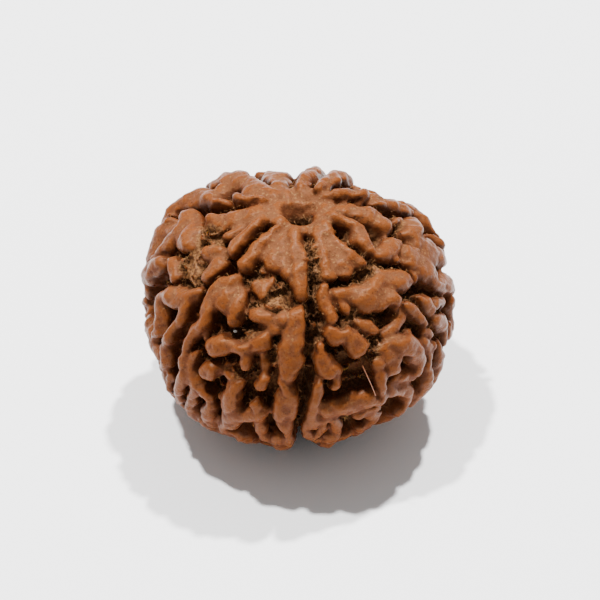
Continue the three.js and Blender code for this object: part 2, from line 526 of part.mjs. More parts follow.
// The point where the form is least, or null where it is nearly flat.
function lowestPoint(q) {
  const rows = [[q[0], q[1], q[2]], [q[1], q[4], q[5]], [q[2], q[5], q[7]]];
  const right = [-q[3], -q[6], -q[8]];
  const whole = dot(rows[0], cross(rows[1], rows[2]));
  const size = q[0] + q[4] + q[7];
  if (Math.abs(whole) < NEARLY_FLAT * size ** 3) {
    return null;
  }
  return [0, 1, 2].map((k) => {
    const swapped = rows.map((row, i) => row.map((value, j) => (j === k ? right[i] : value)));
    return dot(swapped[0], cross(swapped[1], swapped[2])) / whole;
  });
}

// A heap of edges, the cheapest first.
class EdgeHeap {
  constructor() {
    this.items = [];
  }

  push(item) {
    const { items } = this;
    let i = items.length;
    items.push(item);
    while (i > 0) {
      const parent = (i - 1) >> 1;
      if (items[parent].cost <= item.cost) {
        break;
      }
      items[i] = items[parent];
      i = parent;
    }
    items[i] = item;
  }

  pop() {
    const { items } = this;
    const top = items[0];
    const last = items.pop();
    if (items.length > 0) {
      let i = 0;
      while (2 * i + 1 < items.length) {
        let child = 2 * i + 1;
        if (child + 1 < items.length && items[child + 1].cost < items[child].cost) {
          child += 1;
        }
        if (last.cost <= items[child].cost) {
          break;
        }
        items[i] = items[child];
        i = child;
      }
      items[i] = last;
    }
    return top;
  }
}

// Joins neighbouring corners, the least missed first, until the stone has few enough facets.
// Every facet keeps facing away from the stone's middle, so no two of them can ever cross.
function mergeFacets({ points, faces }) {
  const place = points.map((p) => p.point);
  const flat = points.map((p) => p.flat);
  const forms = points.map(() => new Array(10).fill(0));
  const around = points.map(() => new Set());
  const stamp = new Int32Array(points.length);
  faces.forEach((face, index) => {
    const [a, b, c] = face.map((corner) => place[corner]);
    const normal = cross(minus(b, a), minus(c, a));
    const area = Math.hypot(...normal) || 1e-12;
    const unit = normal.map((value) => value / area);
    const sunk = Math.min(...face.map((corner) => points[corner].sunk));
    const weight = area * (sunk > HIDDEN_DEPTH ? HIDDEN_WEIGHT : 1);
    const form = planeForm(unit, -dot(unit, a), weight);
    for (const corner of face) {
      forms[corner] = forms[corner].map((value, k) => value + form[k]);
      around[corner].add(index);
    }
  });

  const neighbours = (v) => {
    const found = new Set();
    for (const index of around[v]) {
      for (const corner of faces[index]) {
        found.add(corner);
      }
    }
    found.delete(v);
    return found;
  };

  const plan = (a, b) => {
    const form = forms[a].map((value, k) => value + forms[b][k]);
    const middle = place[a].map((value, k) => (value + place[b][k]) / 2);
    let choices = [place[a], place[b], middle];
    if (flat[a] !== flat[b]) {
      choices = [flat[a] ? place[a] : place[b]];
    } else if (!flat[a]) {
      const best = lowestPoint(form);
      const reach = FARTHEST_MERGE * Math.hypot(...minus(place[a], place[b]));
      if (best && best[2] > -CENTRE_HEIGHT && Math.hypot(...minus(best, middle)) < reach) {
        choices.push(best);
      }
    }
    const gap = minus(place[a], place[b]);
    let chosen = null;
    let cost = Infinity;
    for (const choice of choices) {
      const value = Math.max(0, formAt(form, choice));
      if (value < cost) {
        cost = value;
        chosen = choice;
      }
    }
    cost += LENGTH_COST * dot(gap, gap);
    return { a, b, chosen, cost, stamps: stamp[a] + stamp[b] };
  };

  const fits = (v, other, chosen) => {
    for (const index of around[v]) {
      const face = faces[index];
      if (face.includes(other)) {
        continue;
      }
      const before = face.map((corner) => place[corner]);
      const after = face.map((corner) => (corner === v ? chosen : place[corner]));
      const turned = cross(minus(after[1], after[0]), minus(after[2], after[0]));
      const size = Math.hypot(...turned);
      const old = cross(minus(before[1], before[0]), minus(before[2], before[0]));
      const longest = Math.max(...after.map((p, k) => dot(minus(p, after[(k + 1) % 3]),
        minus(p, after[(k + 1) % 3]))));
      const outward = dot(turned, after[0]) / (size * Math.hypot(...after[0]) || 1);
      if (outward < LEAST_FACING || size < LEAST_SHAPE * longest || dot(turned, old) < 0) {
        return false;
      }
    }
    return true;
  };

  const heap = new EdgeHeap();
  for (const face of faces) {
    for (let k = 0; k < 3; k += 1) {
      const [a, b] = [face[k], face[(k + 1) % 3]];
      if (a < b) {
        heap.push(plan(a, b));
      }
    }
  }

  let left = faces.length;
  while (left > FACETS && heap.items.length > 0) {
    const edge = heap.pop();
    const { a, b, chosen } = edge;
    if (stamp[a] < 0 || stamp[b] < 0 || stamp[a] + stamp[b] !== edge.stamps) {
      continue;
    }
    const nearA = neighbours(a);
    const shared = [...neighbours(b)].filter((v) => nearA.has(v));
    if (shared.length !== 2 || !fits(a, b, chosen) || !fits(b, a, chosen)) {
      continue;
    }
    for (const index of [...around[b]]) {
      const face = faces[index];
      if (face.includes(a)) {
        for (const corner of face) {
          around[corner].delete(index);
        }
        faces[index] = null;
        left -= 1;
      } else {
        face[face.indexOf(b)] = a;
        around[a].add(index);
      }
    }
    place[a] = chosen;
    flat[a] = flat[a] || flat[b];
    forms[a] = forms[a].map((value, k) => value + forms[b][k]);
    stamp[b] = -1;
    stamp[a] += 1;
    for (const v of neighbours(a)) {
      stamp[v] += 1;
    }
    for (const v of neighbours(a)) {
      for (const w of neighbours(v)) {
        if (w === a || v < w || !neighbours(a).has(w)) {
          heap.push(plan(v, w));
        }
      }
    }
  }
  return { place, faces: faces.filter((face) => face !== null) };
}

// Numbers the corners that are left and stands the stone on its flat spot.
function stoneGeometry() {
  const { place, faces } = mergeFacets(fineStone());
  const number = new Map();
  const coordinates = [];
  const corners = [];
  for (const corner of faces.flat()) {
    if (!number.has(corner)) {
      number.set(corner, number.size);
      const [x, y, z] = place[corner];
      coordinates.push(x, y, z + CENTRE_HEIGHT);
    }
    corners.push(number.get(corner));
  }
  const geometry = new THREE.BufferGeometry();
  geometry.setAttribute('position', new THREE.Float32BufferAttribute(coordinates, 3));
  geometry.setIndex(corners);
  return geometry;
}

const wood = new THREE.MeshStandardMaterial({ color: 0x9c5c35, roughness: 0.45, metalness: 0 });
const seed = new THREE.Mesh(stoneGeometry(), wood);
seed.name = 'seed';

const rudraksha = new THREE.Group();
rudraksha.add(seed);

export default rudraksha;
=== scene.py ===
# %% [markdown]
# # A rudraksha seed
# The object is the woody stone of a small tree fruit. It grew as one piece: a flattened ball
# whose surface stands up in knobbly ridges, parted into seven faces by narrow seams. The ridges
# lean in at their roots, so the crevices are wider below than above, and dried pulp is still
# caught in them. The imported model is loaded first, because it fixes the size and the place of
# everything that follows. Its size is printed.

# %% Load the imported model
import math

import bpy
import numpy as np
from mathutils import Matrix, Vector
from mathutils.bvhtree import BVHTree


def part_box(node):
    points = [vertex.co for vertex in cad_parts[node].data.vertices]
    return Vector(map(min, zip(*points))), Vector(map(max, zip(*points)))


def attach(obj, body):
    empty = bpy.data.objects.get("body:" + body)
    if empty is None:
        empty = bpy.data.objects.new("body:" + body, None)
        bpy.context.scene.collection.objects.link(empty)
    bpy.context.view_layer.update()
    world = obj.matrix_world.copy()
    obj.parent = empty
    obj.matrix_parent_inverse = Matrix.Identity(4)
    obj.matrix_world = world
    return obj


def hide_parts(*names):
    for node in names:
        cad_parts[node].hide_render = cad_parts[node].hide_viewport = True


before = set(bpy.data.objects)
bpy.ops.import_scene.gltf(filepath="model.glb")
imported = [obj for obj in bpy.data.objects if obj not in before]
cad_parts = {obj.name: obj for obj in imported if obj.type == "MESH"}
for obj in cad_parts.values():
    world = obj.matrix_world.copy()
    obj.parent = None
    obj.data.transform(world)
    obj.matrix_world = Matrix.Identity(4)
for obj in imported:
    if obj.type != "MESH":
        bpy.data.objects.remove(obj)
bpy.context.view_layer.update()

seed_low, seed_high = (np.array(corner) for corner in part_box("seed"))
bpy.ops.object.select_all(action="DESELECT")
print("the CAD seed measures, in mm:", np.round((seed_high - seed_low) * 1000, 2))

# %% [markdown]
# ## The camera
# The photograph looks down on the seed from about 41 degrees, square to one of its seams, from
# far enough away that the outline hardly narrows. A camera could be turned until it looks right,
# but four numbers say the same and can be read again: the slope, the distance, how large a
# millimetre comes out, and where the middle of the stone lies in the picture.

# %% Camera
MM = 0.001
PICTURE = 600
PIXELS_PER_MM = 12.4
MIDDLE_PIXEL = (297, 305)
SLOPE = math.radians(41)
CAMERA_DISTANCE = 260 * MM
SENSOR = 36

# The ball that the ridges run over, and how much of its foot is cut flat, in millimetres.
WIDTH = 25.2
FULL_HEIGHT = 21.0
FLAT_TRIM = 0.45
RIM = WIDTH / 2
POLE = FULL_HEIGHT / 2
CENTRE_HEIGHT = POLE - FLAT_TRIM

centre = Vector((0, 0, CENTRE_HEIGHT * MM))
towards_camera = Vector((0, -math.cos(SLOPE), math.sin(SLOPE)))
bpy.ops.object.camera_add(location=centre + towards_camera * CAMERA_DISTANCE,
                          rotation=(math.pi / 2 - SLOPE, 0, 0))
camera = bpy.context.object
camera.data.sensor_width = SENSOR
camera.data.lens = SENSOR * CAMERA_DISTANCE / (PICTURE / PIXELS_PER_MM * MM)
camera.data.shift_x = (PICTURE / 2 - MIDDLE_PIXEL[0]) / PICTURE
camera.data.shift_y = (MIDDLE_PIXEL[1] - PICTURE / 2) / PICTURE
camera.data.clip_start = 0.01
bpy.context.scene.camera = camera
print("lens in mm:", round(camera.data.lens, 1))

# %% [markdown]
# ## Where the ridges run
# On the real stone no two ridges are alike, so they can't come from a repeating pattern, and
# sculpting two hundred of them by hand can't be repeated or corrected. Each ridge is written
# down instead as a stroke: a few points of longitude, latitude and half width, read off the
# photograph. Longitude 0 faces the camera and grows to the right. The first number says
# how far the top of the ridge lies below its neighbours. The part's own source uses the same
# strokes, so the solid and the picture agree.

# %% Ridges seen in the photograph
# Ridges of the front left face. Each row is [how far its top is sunk, then its points].
FRONT_LEFT = [
  [0, [-39.5, 49.6, 0.72], [-43.5, 46, 0.9], [-45, 40, 0.8], [-44.5, 34, 0.7], [-44.5, 28, 0.75],
    [-46.5, 21, 0.5], [-47.3, 14, 0.42], [-47, 7, 0.45], [-47, 0, 0.5], [-50, -8, 0.6],
    [-53, -17, 0.6], [-55, -26, 0.6]],
  [0, [-41, 43.5, 1.1], [-35.6, 42.4, 1.35], [-32.4, 39.4, 1.15], [-31.4, 35.8, 0.75]],
  [0.75, [-43, 27, 0.8], [-40.5, 23, 0.6]],
  [0, [-35, 22, 0.75], [-31, 23.2, 0.7], [-26, 25.4, 0.55], [-21, 27, 0.65],
    [-16.5, 30.5, 0.75], [-13, 32, 0.75]],
  [0.1, [-21, 25, 0.6], [-20.5, 20, 0.5], [-20.5, 17, 0.42]],
  [0.8, [-16, 26, 0.6], [-13.5, 20, 0.45], [-13.5, 15, 0.4]],
  [0.15, [-13.4, 13, 0.5], [-14, 9.6, 0.45]],
  [0.1, [-21, 40.2, 0.4], [-16, 40.2, 0.58], [-11, 39.4, 0.8], [-7.5, 40, 0.7]],
  [0.1, [-11.5, 37.4, 0.6], [-9.4, 35, 0.6]],
  [0, [-0.6, 42.2, 0.82], [-0.2, 39, 1.0], [-1, 35, 0.9], [-2.2, 30, 0.85], [-2.9, 25, 1.0],
    [-3.2, 20, 1.0], [-3.2, 17.5, 0.75]],
  [0, [-5, 13.5, 0.4], [-3.5, 9, 0.75], [-3.5, 3, 1.05], [-4.5, -3, 1.05], [-4.7, -9, 0.85],
    [-3.8, -14, 0.6], [-3, -20, 0.45], [-3, -28, 0.45]],
  [0.05, [-37, 8, 0.8], [-34.8, 11.5, 0.75]],
  [0.6, [-34, 11, 0.6], [-29, 11, 0.5], [-25.5, 9.5, 0.45]],
  [0.25, [-41.5, 15.5, 0.3], [-43.3, 10.5, 0.38], [-43.7, 4, 0.45], [-42, -1, 0.6]],
  [0.2, [-45, 0, 0.6], [-41, -3, 0.65], [-37.5, -4.5, 0.4]],
  [0.25, [-37.5, -2.5, 0.28], [-34.5, -7, 0.35], [-35, -13, 0.5], [-37, -20, 0.6], [-38, -28, 0.6]],
  [0.2, [-42, -6, 0.5], [-43.5, -13, 0.6], [-46, -22, 0.6], [-46, -30, 0.5]],
  [0, [-22.5, 6.5, 0.5], [-24, 2, 0.92], [-25, -4, 1.0], [-24.5, -10, 1.1], [-26, -17, 0.8]],
  [0, [-21, -9, 1.0], [-17, -8, 0.95], [-13.8, -5, 0.8], [-13.8, -0.5, 0.35]],
  [0.2, [-28, -17, 0.6], [-31, -24, 0.6], [-30, -32, 0.5]],
  [0.35, [-15, -13, 0.45], [-14.5, -20, 0.5], [-12, -27, 0.6], [-7, -31, 0.6]],
  [0.35, [-26, 52, 0.5], [-22.3, 51.2, 0.88], [-19.6, 48.6, 0.55]],
  [0.75, [-18.3, 56.3, 0.18], [-18.9, 53.6, 0.3]],
]

# Ridges of the front right face.
FRONT_RIGHT = [
  [0, [16.3, 52, 0.4], [14.8, 48, 0.6], [14.8, 43, 0.62], [15.3, 40, 0.45]],
  [0.15, [21.8, 48, 0.5], [23, 45, 0.45], [24.4, 41.8, 0.38]],
  [0, [22.5, 48.5, 0.55], [27, 47.2, 0.7], [33, 45.2, 0.95], [39, 42, 1.25], [44, 40.4, 1.3],
    [48, 39.5, 1.05]],
  [0, [49, 37.5, 0.85], [51, 35.4, 0.7]],
  [0.1, [46, 45, 0.75], [52, 45, 0.85], [58, 42, 0.95], [64, 39, 1.0], [68, 37, 0.7]],
  [0.55, [29, 35, 0.5], [32.5, 32.5, 0.75], [36.5, 29, 0.55]],
  [0.05, [14.2, 34.6, 0.66], [18, 32, 0.88]],
  [0.1, [21.8, 33, 0.55], [24, 29, 0.85], [25.2, 24.4, 1.0]],
  [0.05, [10.3, 28.4, 0.3], [10, 25, 0.6], [9.8, 21, 0.85], [10.6, 17, 0.8]],
  [0.35, [13.3, 19, 0.65], [14.3, 14, 0.62], [14.3, 10, 0.55]],
  [0, [7.5, 12.5, 0.32], [7.6, 6, 0.45], [7, 0, 0.5], [6.2, -6, 0.5], [5.8, -12, 0.42]],
  [0.25, [2.5, -9, 0.35], [3.5, -17, 0.45], [6.5, -23, 0.5], [9.5, -17, 0.4], [10, -10, 0.35]],
  [0.1, [11, -3, 0.8], [17, -3.8, 1.1], [23, -3.4, 1.25], [28, -3.8, 1.05], [32, -5.4, 0.6]],
  [0.35, [24, -12.5, 0.65], [29, -13.5, 0.75], [33, -12.5, 0.5]],
  [0.3, [31, -17, 0.5], [33, -24, 0.6], [33, -31, 0.5]],
  [0, [38, 17.5, 1.0], [39, 13, 1.15], [38.5, 9.5, 0.95]],
  [0.1, [33.5, 14, 0.55], [32.6, 9, 0.55], [32.2, 4, 0.36], [32.6, -1, 0.32], [33.8, -6, 0.36]],
  [0, [41.5, 19.8, 0.65], [47.3, 16, 0.9], [51.3, 10, 1.0], [52.2, 4, 0.95], [50.6, -1, 0.7]],
  [0.6, [37, -1.5, 0.5], [42, -1.4, 0.8], [47, -3, 0.9], [50, -6, 0.65]],
  [0.35, [36, -4.5, 0.45], [40, -6.5, 0.6], [45, -9, 0.7], [49, -15, 0.7], [50, -23, 0.6]],
  [0.45, [39.5, 25, 0.5], [44.5, 25.8, 0.7], [50, 26.8, 0.75]],
  [0.05, [55.6, 30, 0.55], [57.2, 25, 0.78], [59, 20.4, 0.6], [60, 18, 0.4]],
  [0.2, [59, 14.4, 0.4], [61.4, 12, 0.5], [62.4, 9.4, 0.4]],
  [0.15, [57.4, 10, 0.45], [59, 5, 0.58], [58.6, 0, 0.42]],
  [0.1, [57, -3.5, 0.55], [58, -10, 0.7], [57, -18, 0.7], [55, -27, 0.6]],
  [0.3, [12.5, -10, 0.45], [15.5, -18, 0.55], [15, -26, 0.55], [9, -30, 0.5]],
]

# The hub round the stalk pit and the arms that run out from it all round the crown.
CROWN = [
  [0.05, [-90, 87, 2.1], [90, 84, 1.9]],
  [0.25, [-4, 78.5, 0.45], [18, 78.5, 0.45]],
  [0.35, [110, 76, 0.8], [140, 77, 0.9], [170, 77, 0.9], [200, 77, 0.8], [225, 77, 0.7]],
  [0, [-36, 78, 0.5], [-38, 71, 0.75], [-40, 63, 0.85], [-40.2, 58.6, 0.78]],
  [0.28, [-20, 76, 1.1], [-20, 70, 1.6], [-17, 65, 1.45]],
  [0.02, [-5, 77, 0.6], [-0.5, 70, 0.75], [2, 62, 0.82], [3, 56, 0.8], [2.6, 51.4, 0.74]],
  [0.25, [-12.5, 63, 0.7], [-7, 59, 0.6]],
  [0.08, [34, 77, 0.5], [27, 70, 0.6], [22.5, 63, 0.7], [22, 58, 0.75]],
  [0.1, [47, 77, 0.5], [46, 70, 0.65], [46, 63, 0.85], [46.5, 58.4, 0.9], [46, 56.4, 0.75]],
  [0.28, [37, 74, 0.9], [35, 66, 1.4], [34.5, 61, 1.5], [34.5, 57.6, 1.0]],
  [-0.1, [75, 78, 0.5], [70.7, 71, 0.58], [66.5, 64.5, 0.7], [60.5, 58.4, 0.68]],
  [0.05, [61, 52.6, 0.6], [66, 51.6, 0.95], [73, 50.4, 0.85], [80, 48.6, 0.5]],
  [0.15, [70, 49.4, 0.7], [68, 46.6, 0.45]],
  [0.1, [92, 78, 0.7], [95, 71, 1.0], [98, 65, 1.3], [95, 60, 1.35], [90, 55.5, 1.1]],
  [-0.25, [127, 76, 0.5], [121, 73, 0.62], [118.6, 67.6, 0.68], [118.8, 61.4, 0.66]],
  [0, [110, 57, 0.6], [117, 53, 0.8], [114, 47.6, 0.6]],
  [0.15, [111, 47, 0.45], [114, 42, 0.45], [115, 36, 0.45]],
  [0.3, [103, 47.5, 0.45], [100, 50, 0.4]],
  [-0.4, [141, 76, 0.4], [146, 70, 0.66], [148.4, 63, 0.8], [149, 55, 0.9], [149, 48.6, 0.86]],
  [-0.1, [175, 76, 0.4], [172, 70, 0.66], [169.6, 63, 0.8], [168.4, 55, 0.88], [168, 48.6, 0.85]],
  [0.3, [-156, 79, 0.6], [-160, 71, 0.95], [-163, 63, 1.2], [-165, 56, 1.3], [-166, 50, 1.15]],
  [0, [-139, 75, 0.8], [-139, 67, 1.2], [-140, 59, 1.4], [-141, 51, 1.5], [-141, 45, 1.45]],
  [0.15, [-130, 78, 0.6], [-128, 71, 0.8], [-128, 65, 0.85]],
  [0.15, [-133, 56, 0.8], [-131, 50, 0.85]],
  [0.05, [-116, 56, 0.6], [-121.5, 48, 0.85], [-125, 41, 1.0], [-123, 33, 1.0], [-117, 26, 0.9]],
  [-0.25, [-111, 76, 0.4], [-112, 72, 0.48], [-113, 66, 0.5]],
  [0.1, [-80, 78, 0.8], [-85.5, 70, 1.35], [-90, 63, 1.15], [-96, 56, 0.8]],
  [0.2, [-72, 66, 0.8], [-69.2, 62.4, 0.7]],
  [-0.25, [-70, 77, 0.4], [-62, 73, 0.5], [-57, 67, 0.6], [-54, 62, 0.6], [-53, 59.4, 0.5]],
]

# What shows of the faces to the right and left of the front pair.
RIGHT = [
  [0, [78, 43.4, 0.9], [78, 39, 1.35], [80, 33.5, 1.5], [81, 28, 1.3]],
  [0, [89, 40, 0.9], [92, 33, 1.4], [96, 26, 1.3], [99, 19.6, 1.0]],
  [0.05, [80, 22, 0.55], [86, 17, 0.85], [92, 11, 0.85], [97, 4, 0.8]],
  [0.1, [63.6, 27.5, 0.5], [66, 22.8, 0.8], [67.8, 19.2, 0.55]],
  [0.15, [68, 14.5, 0.5], [72, 9, 0.8], [75, 3, 0.7], [74, -4, 0.6]],
  [0.1, [63, 4, 0.5], [66, -4, 0.7], [68, -12, 0.7], [66, -22, 0.7]],
  [-0.1, [101, 41, 0.95], [93.5, 42, 1.0]],
  [0, [127, 37, 0.7], [121, 31, 0.85], [115, 26, 0.9], [108, 21, 0.75]],
  [0.25, [72, 18.6, 0.4], [75, 17, 0.5], [79, 13, 0.5]],
]
LEFT = [
  [0, [-54.8, 51.4, 0.8], [-55.2, 46.4, 0.85]],
  [0.2, [-69, 51.2, 0.8], [-64.6, 53.6, 0.9], [-60.6, 55.8, 0.6]],
  [0.55, [-74, 47, 0.6], [-69, 43.6, 0.65], [-63.7, 40, 0.6]],
  [0.1, [-54.4, 38, 0.5], [-57.4, 33.4, 0.85], [-63, 29, 1.0], [-68, 26, 1.1], [-72, 21.6, 0.8]],
  [0.1, [-57, 31, 0.8], [-55.6, 26.4, 0.6], [-56, 22, 0.45]],
  [0.3, [-72, 20, 0.7], [-70, 14, 0.8], [-68, 8, 0.7], [-70, 2, 0.5]],
  [0.15, [-57, 18, 0.42], [-58.6, 12, 0.58], [-60, 5, 0.65], [-59, -2, 0.6], [-61, -12, 0.6],
    [-63, -22, 0.65]],
  [0.05, [-83, 35, 0.65], [-78, 34.6, 0.65], [-72.5, 34.3, 0.5]],
  [-0.3, [-86, 28.6, 0.65], [-89.6, 21.4, 1.0], [-93, 14.4, 0.95]],
  [0, [-106, 42.6, 0.95], [-100, 43.6, 1.15], [-92, 44.2, 1.15], [-84, 45.8, 0.85]],
  [0, [-111, 31, 0.8], [-108.4, 24.6, 1.0], [-105.4, 18.6, 0.85]],
  [0.3, [-97, 35, 0.55], [-95, 30, 0.6]],
]

# Ridges of one face's underside, for a face this wide whose middle is at longitude 0.
UNDERSIDE_WIDTH = 51
UNDERSIDE = [
  [0.1, [-16, -26, 0.55], [-16, -34, 0.75], [-15, -43, 0.95], [-14, -52, 0.9], [-11, -62, 0.75],
    [-6, -72, 0.65], [0, -80, 0.6]],
  [0.15, [15, -24, 0.6], [16, -34, 0.85], [15, -44, 0.9], [15, -53, 0.75], [16, -60, 0.6],
    [14, -67, 0.5]],
  [0.25, [-3, -28, 0.5], [0, -36, 0.75], [1, -45, 0.65], [-1, -54, 0.45]],
  [0.35, [-14, -37, 0.5], [-7, -34, 0.5], [-2, -33, 0.5]],
  [0.35, [1, -46, 0.45], [8, -47, 0.5], [14, -46, 0.5]],
  [0.3, [15, -60, 0.5], [10, -70, 0.55], [2, -77, 0.5]],
]

# The boss at the lower pole, where the undersides meet and the stone rests.
LOWER_BOSS = [
  [-0.3, [-90, -86, 2.5], [90, -86, 2.5]],
]

# The seven seams, from the crown to the underside, as [longitude, latitude] points.
SEAMS = [
  [[9, 69], [10.5, 60], [8.5, 52], [5.5, 45], [4.8, 30], [4.4, 15], [3, 0], [1.4, -10],
    [0.4, -20], [1, -40], [4, -66]],
  [[51, 70], [52, 66], [52, 61], [52, 56], [57, 50], [64, 46], [69, 41], [66, 34], [61.6, 27],
    [62, 19], [64.6, 10], [62, -5], [61, -20], [60, -40], [58, -66]],
  [[107, 66], [107, 60], [109, 45], [110, 30], [108, 15], [107, 0], [108, -20], [109, -40],
    [108, -66]],
  [[159, 62], [158.8, 59], [158.6, 55], [158.6, 40], [160, 25], [162, 10], [160, -10], [159, -30],
    [160, -66]],
  [[206, 67], [207, 62], [207, 55], [207, 45], [209, 35], [211, 25], [212, 10], [213, -10], [211, -30],
    [210, -66]],
  [[256.6, 69], [255, 66], [250, 58], [247, 45], [248, 30], [250, 15], [252, 0], [254, -20],
    [256, -66]],
  [[313, 70], [313, 65], [312, 56], [311, 46], [311, 35], [309.6, 25], [309.4, 10], [309.6, 0],
    [307, -12], [304, -25], [306, -45], [308, -66]],
]
print("ridges read:", len(FRONT_LEFT + FRONT_RIGHT + CROWN + RIGHT + LEFT))

# %% [markdown]
# ## Noise that is the same every time
# A grown surface is never quite smooth or straight. A few sine waves that run in directions
# drawn from a fixed seed give a soft, lumpy field that costs little and comes out the same on
# every run. A short wavelength gives pores, a long one gives the unevenness of the whole stone.

# %% Wave noise
WAVES = 7
SLOWEST = 0.7
PACE_SPREAD = 0.6
DRAW_PACE = 12.9898
DRAW_START = 78.233
DRAW_SPREAD = 43758.5453


def draw(index):
    value = math.sin(index * DRAW_PACE + DRAW_START) * DRAW_SPREAD
    return value - math.floor(value)


def make_noise(seed, wavelength):
    rows = []
    for i in range(WAVES):
        z = 2 * draw(seed + 4 * i) - 1
        turn = 2 * math.pi * draw(seed + 4 * i + 1)
        level = math.sqrt(1 - z * z)
        pace = (2 * math.pi / wavelength) * (SLOWEST + PACE_SPREAD * draw(seed + 4 * i + 2))
        phase = 2 * math.pi * draw(seed + 4 * i + 3)
        rows.append((level * math.cos(turn) * pace, level * math.sin(turn) * pace, z * pace, phase))
    waves = np.array(rows)

    def noise(points):
        return np.sin(points @ waves[:, :3].T + waves[:, 3]).sum(1) / math.sqrt(2 * WAVES)

    return noise


body_noise = make_noise(seed=11, wavelength=15)
outline_noise = make_noise(seed=101, wavelength=1.8)
knob_noise = make_noise(seed=201, wavelength=3.3)
floor_noise = make_noise(seed=301, wavelength=2.1)
warp_noises = [make_noise(seed, wavelength=3.4) for seed in (401, 501, 601)]
print("noise at the front:", round(float(body_noise(np.array([[0, -RIM, 0]]))[0]), 3))

# %% [markdown]
# ## Strokes on the ball
# The ridges run over a flattened ball that just covers their tops. Each stroke becomes a smooth
# line on that ball, cut into pieces of about a millimetre, so that the distance from any point
# to the line is easy to work out. The faces that the camera can't see carry the same kinds of
# ridge, borrowed from the front pair and turned, mirrored, stretched or stood on their heads.

# %% Lay the strokes on the ball
BALL = np.array([RIM, RIM, POLE])
PIECE_LENGTH = 1.0


def on_ball(longitude, latitude):
    lon = math.radians(longitude)
    lat = math.radians(latitude)
    level = RIM * math.cos(lat)
    return [level * math.sin(lon), -level * math.cos(lon), POLE * math.sin(lat)]


def to_ball(points):
    return points / np.linalg.norm(points / BALL, axis=-1, keepdims=True)


def borrow(rows, start, to, stretch=1, flip=None, lats=(-90, 90), lons=(-180, 180)):
    copied = []
    for sunk, *points in rows:
        if all(lats[0] <= lat <= lats[1] and lons[0] <= lon <= lons[1] for lon, lat, half in points):
            moved = [[to + (lon - start) * stretch, lat if flip is None else flip - lat, half]
                     for lon, lat, half in points]
            copied.append([sunk, *moved])
    return copied


def all_rows():
    rows = FRONT_LEFT + FRONT_RIGHT + CROWN + RIGHT + LEFT + LOWER_BOSS
    rows += borrow(FRONT_LEFT, -22, 86, stretch=-0.8, lats=(-32, 9))
    rows += borrow(FRONT_RIGHT, 33, -84, stretch=-0.9, lats=(-31, 6))
    rows += borrow(FRONT_RIGHT, 60, 112, stretch=-0.95, lats=(-31, 53), lons=(33, 70))
    rows += borrow(FRONT_LEFT, -3, 170, stretch=0.9, lats=(-32, 53))
    rows += borrow(FRONT_RIGHT, 20, 191, stretch=-1, lats=(-31, 40), lons=(5, 37))
    rows += borrow(FRONT_RIGHT, 5, 212, flip=19, lats=(-31, 50))
    starts = [path[-1][0] for path in SEAMS]
    for face, (start, end) in enumerate(zip(starts, starts[1:] + [starts[0] + 360])):
        side = 1 if face % 2 == 0 else -1
        stretch = side * (end - start) / UNDERSIDE_WIDTH
        rows += borrow(UNDERSIDE, 0, (start + end) / 2, stretch=stretch)
    return rows


# A smooth curve runs from b to c, and its neighbours a and d decide how it turns there.
def cut_stroke(points):
    knots = np.array([on_ball(lon, lat) + [half] for lon, lat, half in points])
    line = np.vstack([2 * knots[0] - knots[1], knots, 2 * knots[-1] - knots[-2]])
    stations = []
    for a, b, c, d in zip(line, line[1:], line[2:], line[3:]):
        steps = math.ceil(np.linalg.norm(c[:3] - b[:3]) / PIECE_LENGTH)
        for t in np.arange(steps) / steps:
            stations.append(0.5 * (2 * b + (c - a) * t + (2 * a - 5 * b + 4 * c - d) * t * t
                                   + (3 * b - a - 3 * c + d) * t ** 3))
    stations.append(knots[-1])
    stations = np.array(stations)
    stations[:, :3] = to_ball(stations[:, :3])
    return stations


def near_stroke(stations, points):
    edge = np.full(len(points), np.inf)
    across = np.zeros(len(points))
    half = np.ones(len(points))
    for a, b in zip(stations[:-1], stations[1:]):
        run = b[:3] - a[:3]
        t = np.clip((points - a[:3]) @ run / (run @ run), 0, 1)
        gap = np.linalg.norm(points - a[:3] - t[:, None] * run, axis=1)
        width = a[3] + (b[3] - a[3]) * t
        nearer = gap - width < edge
        edge = np.where(nearer, gap - width, edge)
        across = np.where(nearer, gap / width, across)
        half = np.where(nearer, width, half)
    return edge, across, half


SEAM_HALF = 0.2
strokes = [(row[0], cut_stroke(row[1:])) for row in all_rows()]
seam_lines = [cut_stroke([[lon, lat, SEAM_HALF] for lon, lat in path]) for path in SEAMS]
print("strokes on the ball:", len(strokes), "and seams:", len(seam_lines))

# %% [markdown]
# ## The relief as a formula
# At any point of space the formula says how far the point is outside or inside the stone. A
# ridge is a slab with rounded shoulders along its stroke, drawn in at its root. Slabs, floor,
# seams and pits are joined with a smooth minimum, which leaves a fillet where they meet, the
# way grown tissue runs together. Swells bend the whole ball to the outline in the photograph,
# and fills raise the floor where pulp is packed into a crevice. Painting or sculpting could give
# the same shapes, but only the formula lets a ridge be moved by editing one number.

# %% Relief values
FLOOR_DEPTH = 2.3
EDGE_ROUND = 0.56
EDGE_SHARE = 0.9
ROOT_PULL = 0.32
CROWNING = 0.36
CROWNED_HALF = 1.0
RIDGE_FILLET = 0.28
FLOOR_FILLET = 0.5
OUTLINE_WAVE = 0.18
KNOB = 0.3
KNOB_SOFTENING = 0.3
KNOB_MIDDLE = 0.5
BODY_WAVE = 0.1
BROADEN = 0.06
LOW_WEB = 1.0
WEB_NARROWNESS = 2.2
REACH = 2.6
PIT = {"x": 0.25, "y": -0.4, "radius": 1.15, "depth": 4.0, "taper": 0.15, "rim": 0.6}
MOUTH = {"x": 0.25, "y": 0.15, "radius": 1.8, "depth": 1.8, "taper": 0.95, "rim": 0.5}
DIMPLE = {"depth": 0.35, "reach": 2.8}
LOWER_PIT = {"radius": 0.75, "depth": 1.3, "taper": 0.2, "rim": 0.3}
